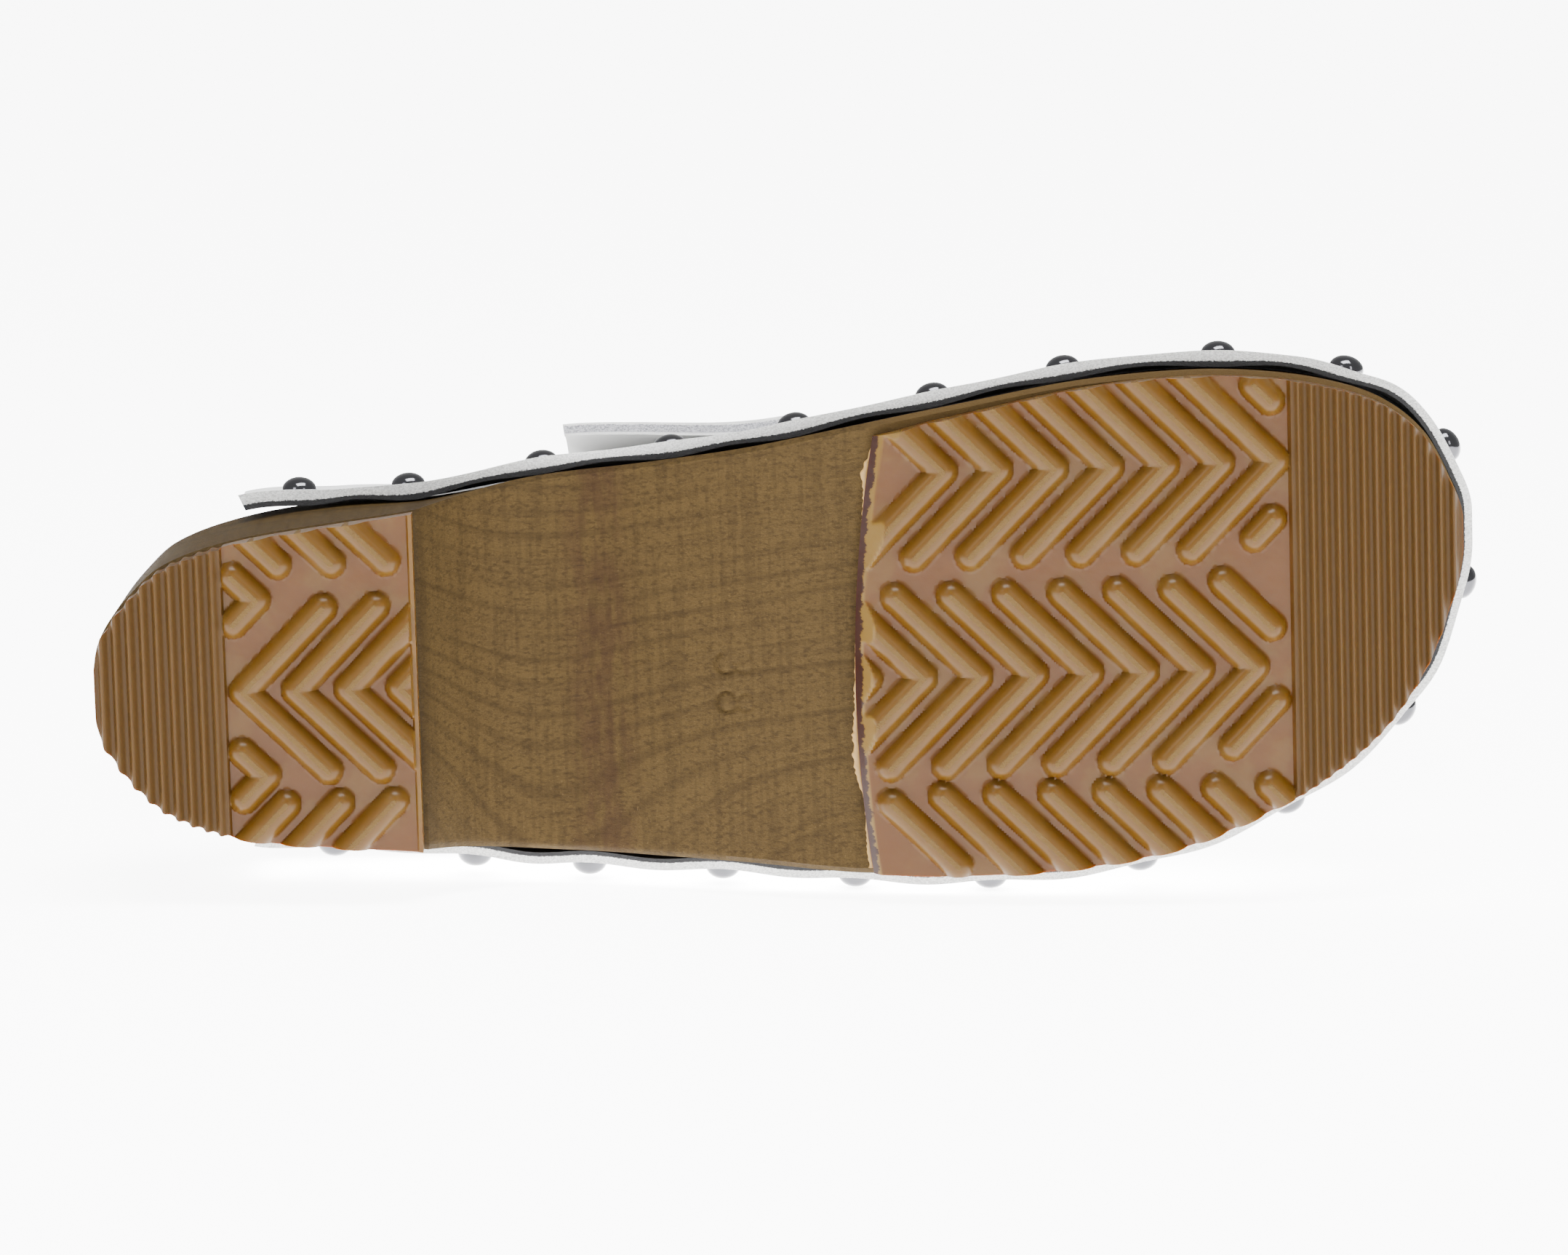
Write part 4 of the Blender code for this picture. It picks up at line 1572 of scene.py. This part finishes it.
@dataclass
class DomeNails:
    """Bright dome nails through the leather into the sole's edge."""

    finish: PlainFinish
    upper: Upper
    radius: float = 3.3
    height: float = 2.5
    clear: float = 0.1
    around: int = 28
    rows: int = 8
    turn_step: float = 0.02
    height_step: float = 2.0

    def seat(self, along: float, side: Side) -> tuple[np.ndarray, np.ndarray]:
        """Seat of one nail on the leather.

        Args:
            along: Place along the sole.
            side: Side of the foot.

        Returns:
            The centre of the seat and the way out of the leather.
        """
        turn = turn_at(along)
        height = RIM.at(along) - 0.5 * self.upper.cover
        points = []
        step = self.turn_step
        for shift, up in ((0.0, 0.0), (step, 0.0), (-step, 0.0), (0.0, self.height_step)):
            place = turn + shift
            grow = GAP + self.upper.thickness + self.upper.spread(along_at(place)) + self.clear
            points.append(FORM.wall(place, side, height + up, grow))
        middle, ahead, back, above = points
        out = side.value * np.cross(above - middle, ahead - back)
        return middle, out / np.linalg.norm(out)

    def build(self) -> None:
        """Build and dress the nails."""
        angle = np.linspace(0.0, 2.0 * math.pi, self.around, endpoint=False)
        rise = np.linspace(0.0, math.pi / 2, self.rows)[:-1, None]
        radius = self.radius * np.cos(rise)
        height = self.height * np.sin(rise)
        dome = join_axes(radius * np.cos(angle), radius * np.sin(angle), height)
        surface = Surface.empty()
        for side, places in NAILS.items():
            for along in places:
                middle, out = self.seat(along, side)
                turned = Vector((0, 0, 1)).rotation_difference(Vector(out)).to_matrix()
                turned = np.array(turned).T
                rows = surface.add_points(dome @ turned + middle)
                tip = surface.add_points((middle + out * self.height)[None])
                surface.add_quads(rows, closed=True)
                surface.add_face(rows[0][::-1])
                for i in range(self.around):
                    j = (i + 1) % self.around
                    surface.add_face(np.array((rows[-1][i], rows[-1][j], tip[0])))
        piece = surface.build("dome_nails", [self.finish.make()])
        names = [f"nail_{number:02d}" for number in range(1, 21)]
        declare(piece, "chrome", *names)


@dataclass
class Studio:
    """Pale floor, soft lights and a camera square on the tread."""

    aim: tuple = (127.1, -9.0, 0.0)
    distance: float = 1200.0
    lean: float = 8.0
    roll: float = 1.65
    lens: float = 150.7
    sensor: float = 36.0
    sight: float = 60.0
    floor_reach: float = 30.0
    floor_glow: float = 9.0
    sky: float = 0.85
    lights: tuple = (
        ("light_above", (0.1, -0.25, 1.2), (0.9, 0.5), 36.0),
        ("light_front_left", (-0.9, -1.3, 1.0), (0.45, 0.6), 9.0),
        ("light_front_right", (0.9, -1.3, 0.8), (0.3, 0.6), 5.0),
    )

    def camera(self) -> None:
        """Camera at the photograph's angle to the shoe."""
        lean, roll = math.radians(self.lean), math.radians(self.roll)
        ahead = Vector((0.0, math.sin(lean), math.cos(lean)))
        level = Vector((1.0, 0.0, 0.0))
        up = Vector((0.0, -math.cos(lean), math.sin(lean)))
        right = level * math.cos(roll) - up * math.sin(roll)
        up = up * math.cos(roll) + level * math.sin(roll)
        place = (Vector(self.aim) - ahead * self.distance) * MM
        turned = Matrix((right, up, -ahead)).transposed().to_4x4()
        data = bpy.data.cameras.new("camera")
        data.lens = self.lens
        data.sensor_width = self.sensor
        data.clip_end = self.sight
        camera = bpy.data.objects.new("camera", data)
        camera.matrix_world = POSE @ Matrix.Translation(place) @ turned
        bpy.context.scene.collection.objects.link(camera)
        bpy.context.scene.camera = camera

    def floor(self) -> None:
        """Wide pale floor."""
        reach = self.floor_reach
        mesh = bpy.data.meshes.new("floor")
        corners = [(-reach, -reach, 0), (reach, -reach, 0), (reach, reach, 0), (-reach, reach, 0)]
        mesh.from_pydata(corners, [], [(0, 1, 2, 3)])
        white = PlainFinish("floor_white", (0.9, 0.9, 0.9, 1.0), 0.7, glow=self.floor_glow)
        mesh.materials.append(white.make())
        floor = bpy.data.objects.new("floor", mesh)
        bpy.context.scene.collection.objects.link(floor)
        floor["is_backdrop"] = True

    def light(self, name: str, place: tuple, size: tuple, power: float) -> None:
        """Area light that faces the shoe.

        Args:
            name: Name of the light.
            place: Where it stands, in metres.
            size: Its width and height in metres.
            power: Its power in watts.

        Returns:
            None.
        """
        data = bpy.data.lights.new(name, "AREA")
        data.shape = "RECTANGLE"
        data.size, data.size_y = size
        data.energy = power
        lamp = bpy.data.objects.new(name, data)
        towards = Vector((0.0, 0.0, 0.05)) - Vector(place)
        lamp.location = place
        lamp.rotation_euler = towards.to_track_quat("-Z", "Y").to_euler()
        bpy.context.scene.collection.objects.link(lamp)

    def build(self) -> None:
        """Set up floor, lights and camera."""
        self.floor()
        for name, place, size, power in self.lights:
            self.light(name, place, size, power)
        world = bpy.data.worlds.new("studio_white")
        world.use_nodes = True
        backdrop = world.node_tree.nodes["Background"]
        backdrop.inputs["Color"].default_value = (1, 1, 1, 1)
        backdrop.inputs["Strength"].default_value = self.sky
        bpy.context.scene.world = world
        self.camera()


def corners() -> list:
    """The shown object's lowest and highest corner as plain lists."""
    return [[float(number) for number in corner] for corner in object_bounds()]


def main() -> None:
    """Build the clog and its studio in order."""
    logging.basicConfig(level=logging.INFO, format="%(name)s: %(message)s")
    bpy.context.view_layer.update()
    WoodenSole(WoodFinish(), SizeNumber()).build()
    rubber = RubberFinish().make()
    HeelTread(rubber).build()
    forefoot = ForefootTread(rubber)
    forefoot.build()
    cream = srgb(206, 158, 74, GLUE_SHARE)
    GlueLine(forefoot, PlainFinish("glue_pale", cream, 0.6, relief=0.1)).build()
    face = LeatherFinish().make()
    # Black lining; the black inner layer of the upper's cut edge is partly the lining and partly
    # painted shade of the thin gap between leather and wood
    lining_black_and_gap_shade = (0.012, 0.012, 0.013, 1.0)
    fibre = CutEdgeFinish(
        "leather_cut", lining_black_and_gap_shade, 0.36, (0.72, 0.72, 0.7, 1.0), (0.4, 0.4, 0.39, 1.0), 1.1
    )
    lining = PlainFinish("lining_dark", lining_black_and_gap_shade, 0.8, relief=0.1)
    upper = Upper(face, fibre.make(), lining.make())
    upper.build()
    white = (0.75, 0.75, 0.74, 1.0)
    core = CutEdgeFinish(
        "strap_core", white, 0.2, (0.55, 0.55, 0.58, 1.0), (0.2, 0.2, 0.22, 1.0), 0.82
    )
    InstepStrap(face, core.make()).build()
    # Painted reflection: the very dark base colour gives the nails dark reflections that the white
    # studio around them would not give
    chrome = PlainFinish("nail_chrome", (0.07, 0.07, 0.075, 1.0), 0.12, metallic=1.0)
    DomeNails(chrome, upper).build()
    Studio().build()


if __name__ == "__main__":
    main()
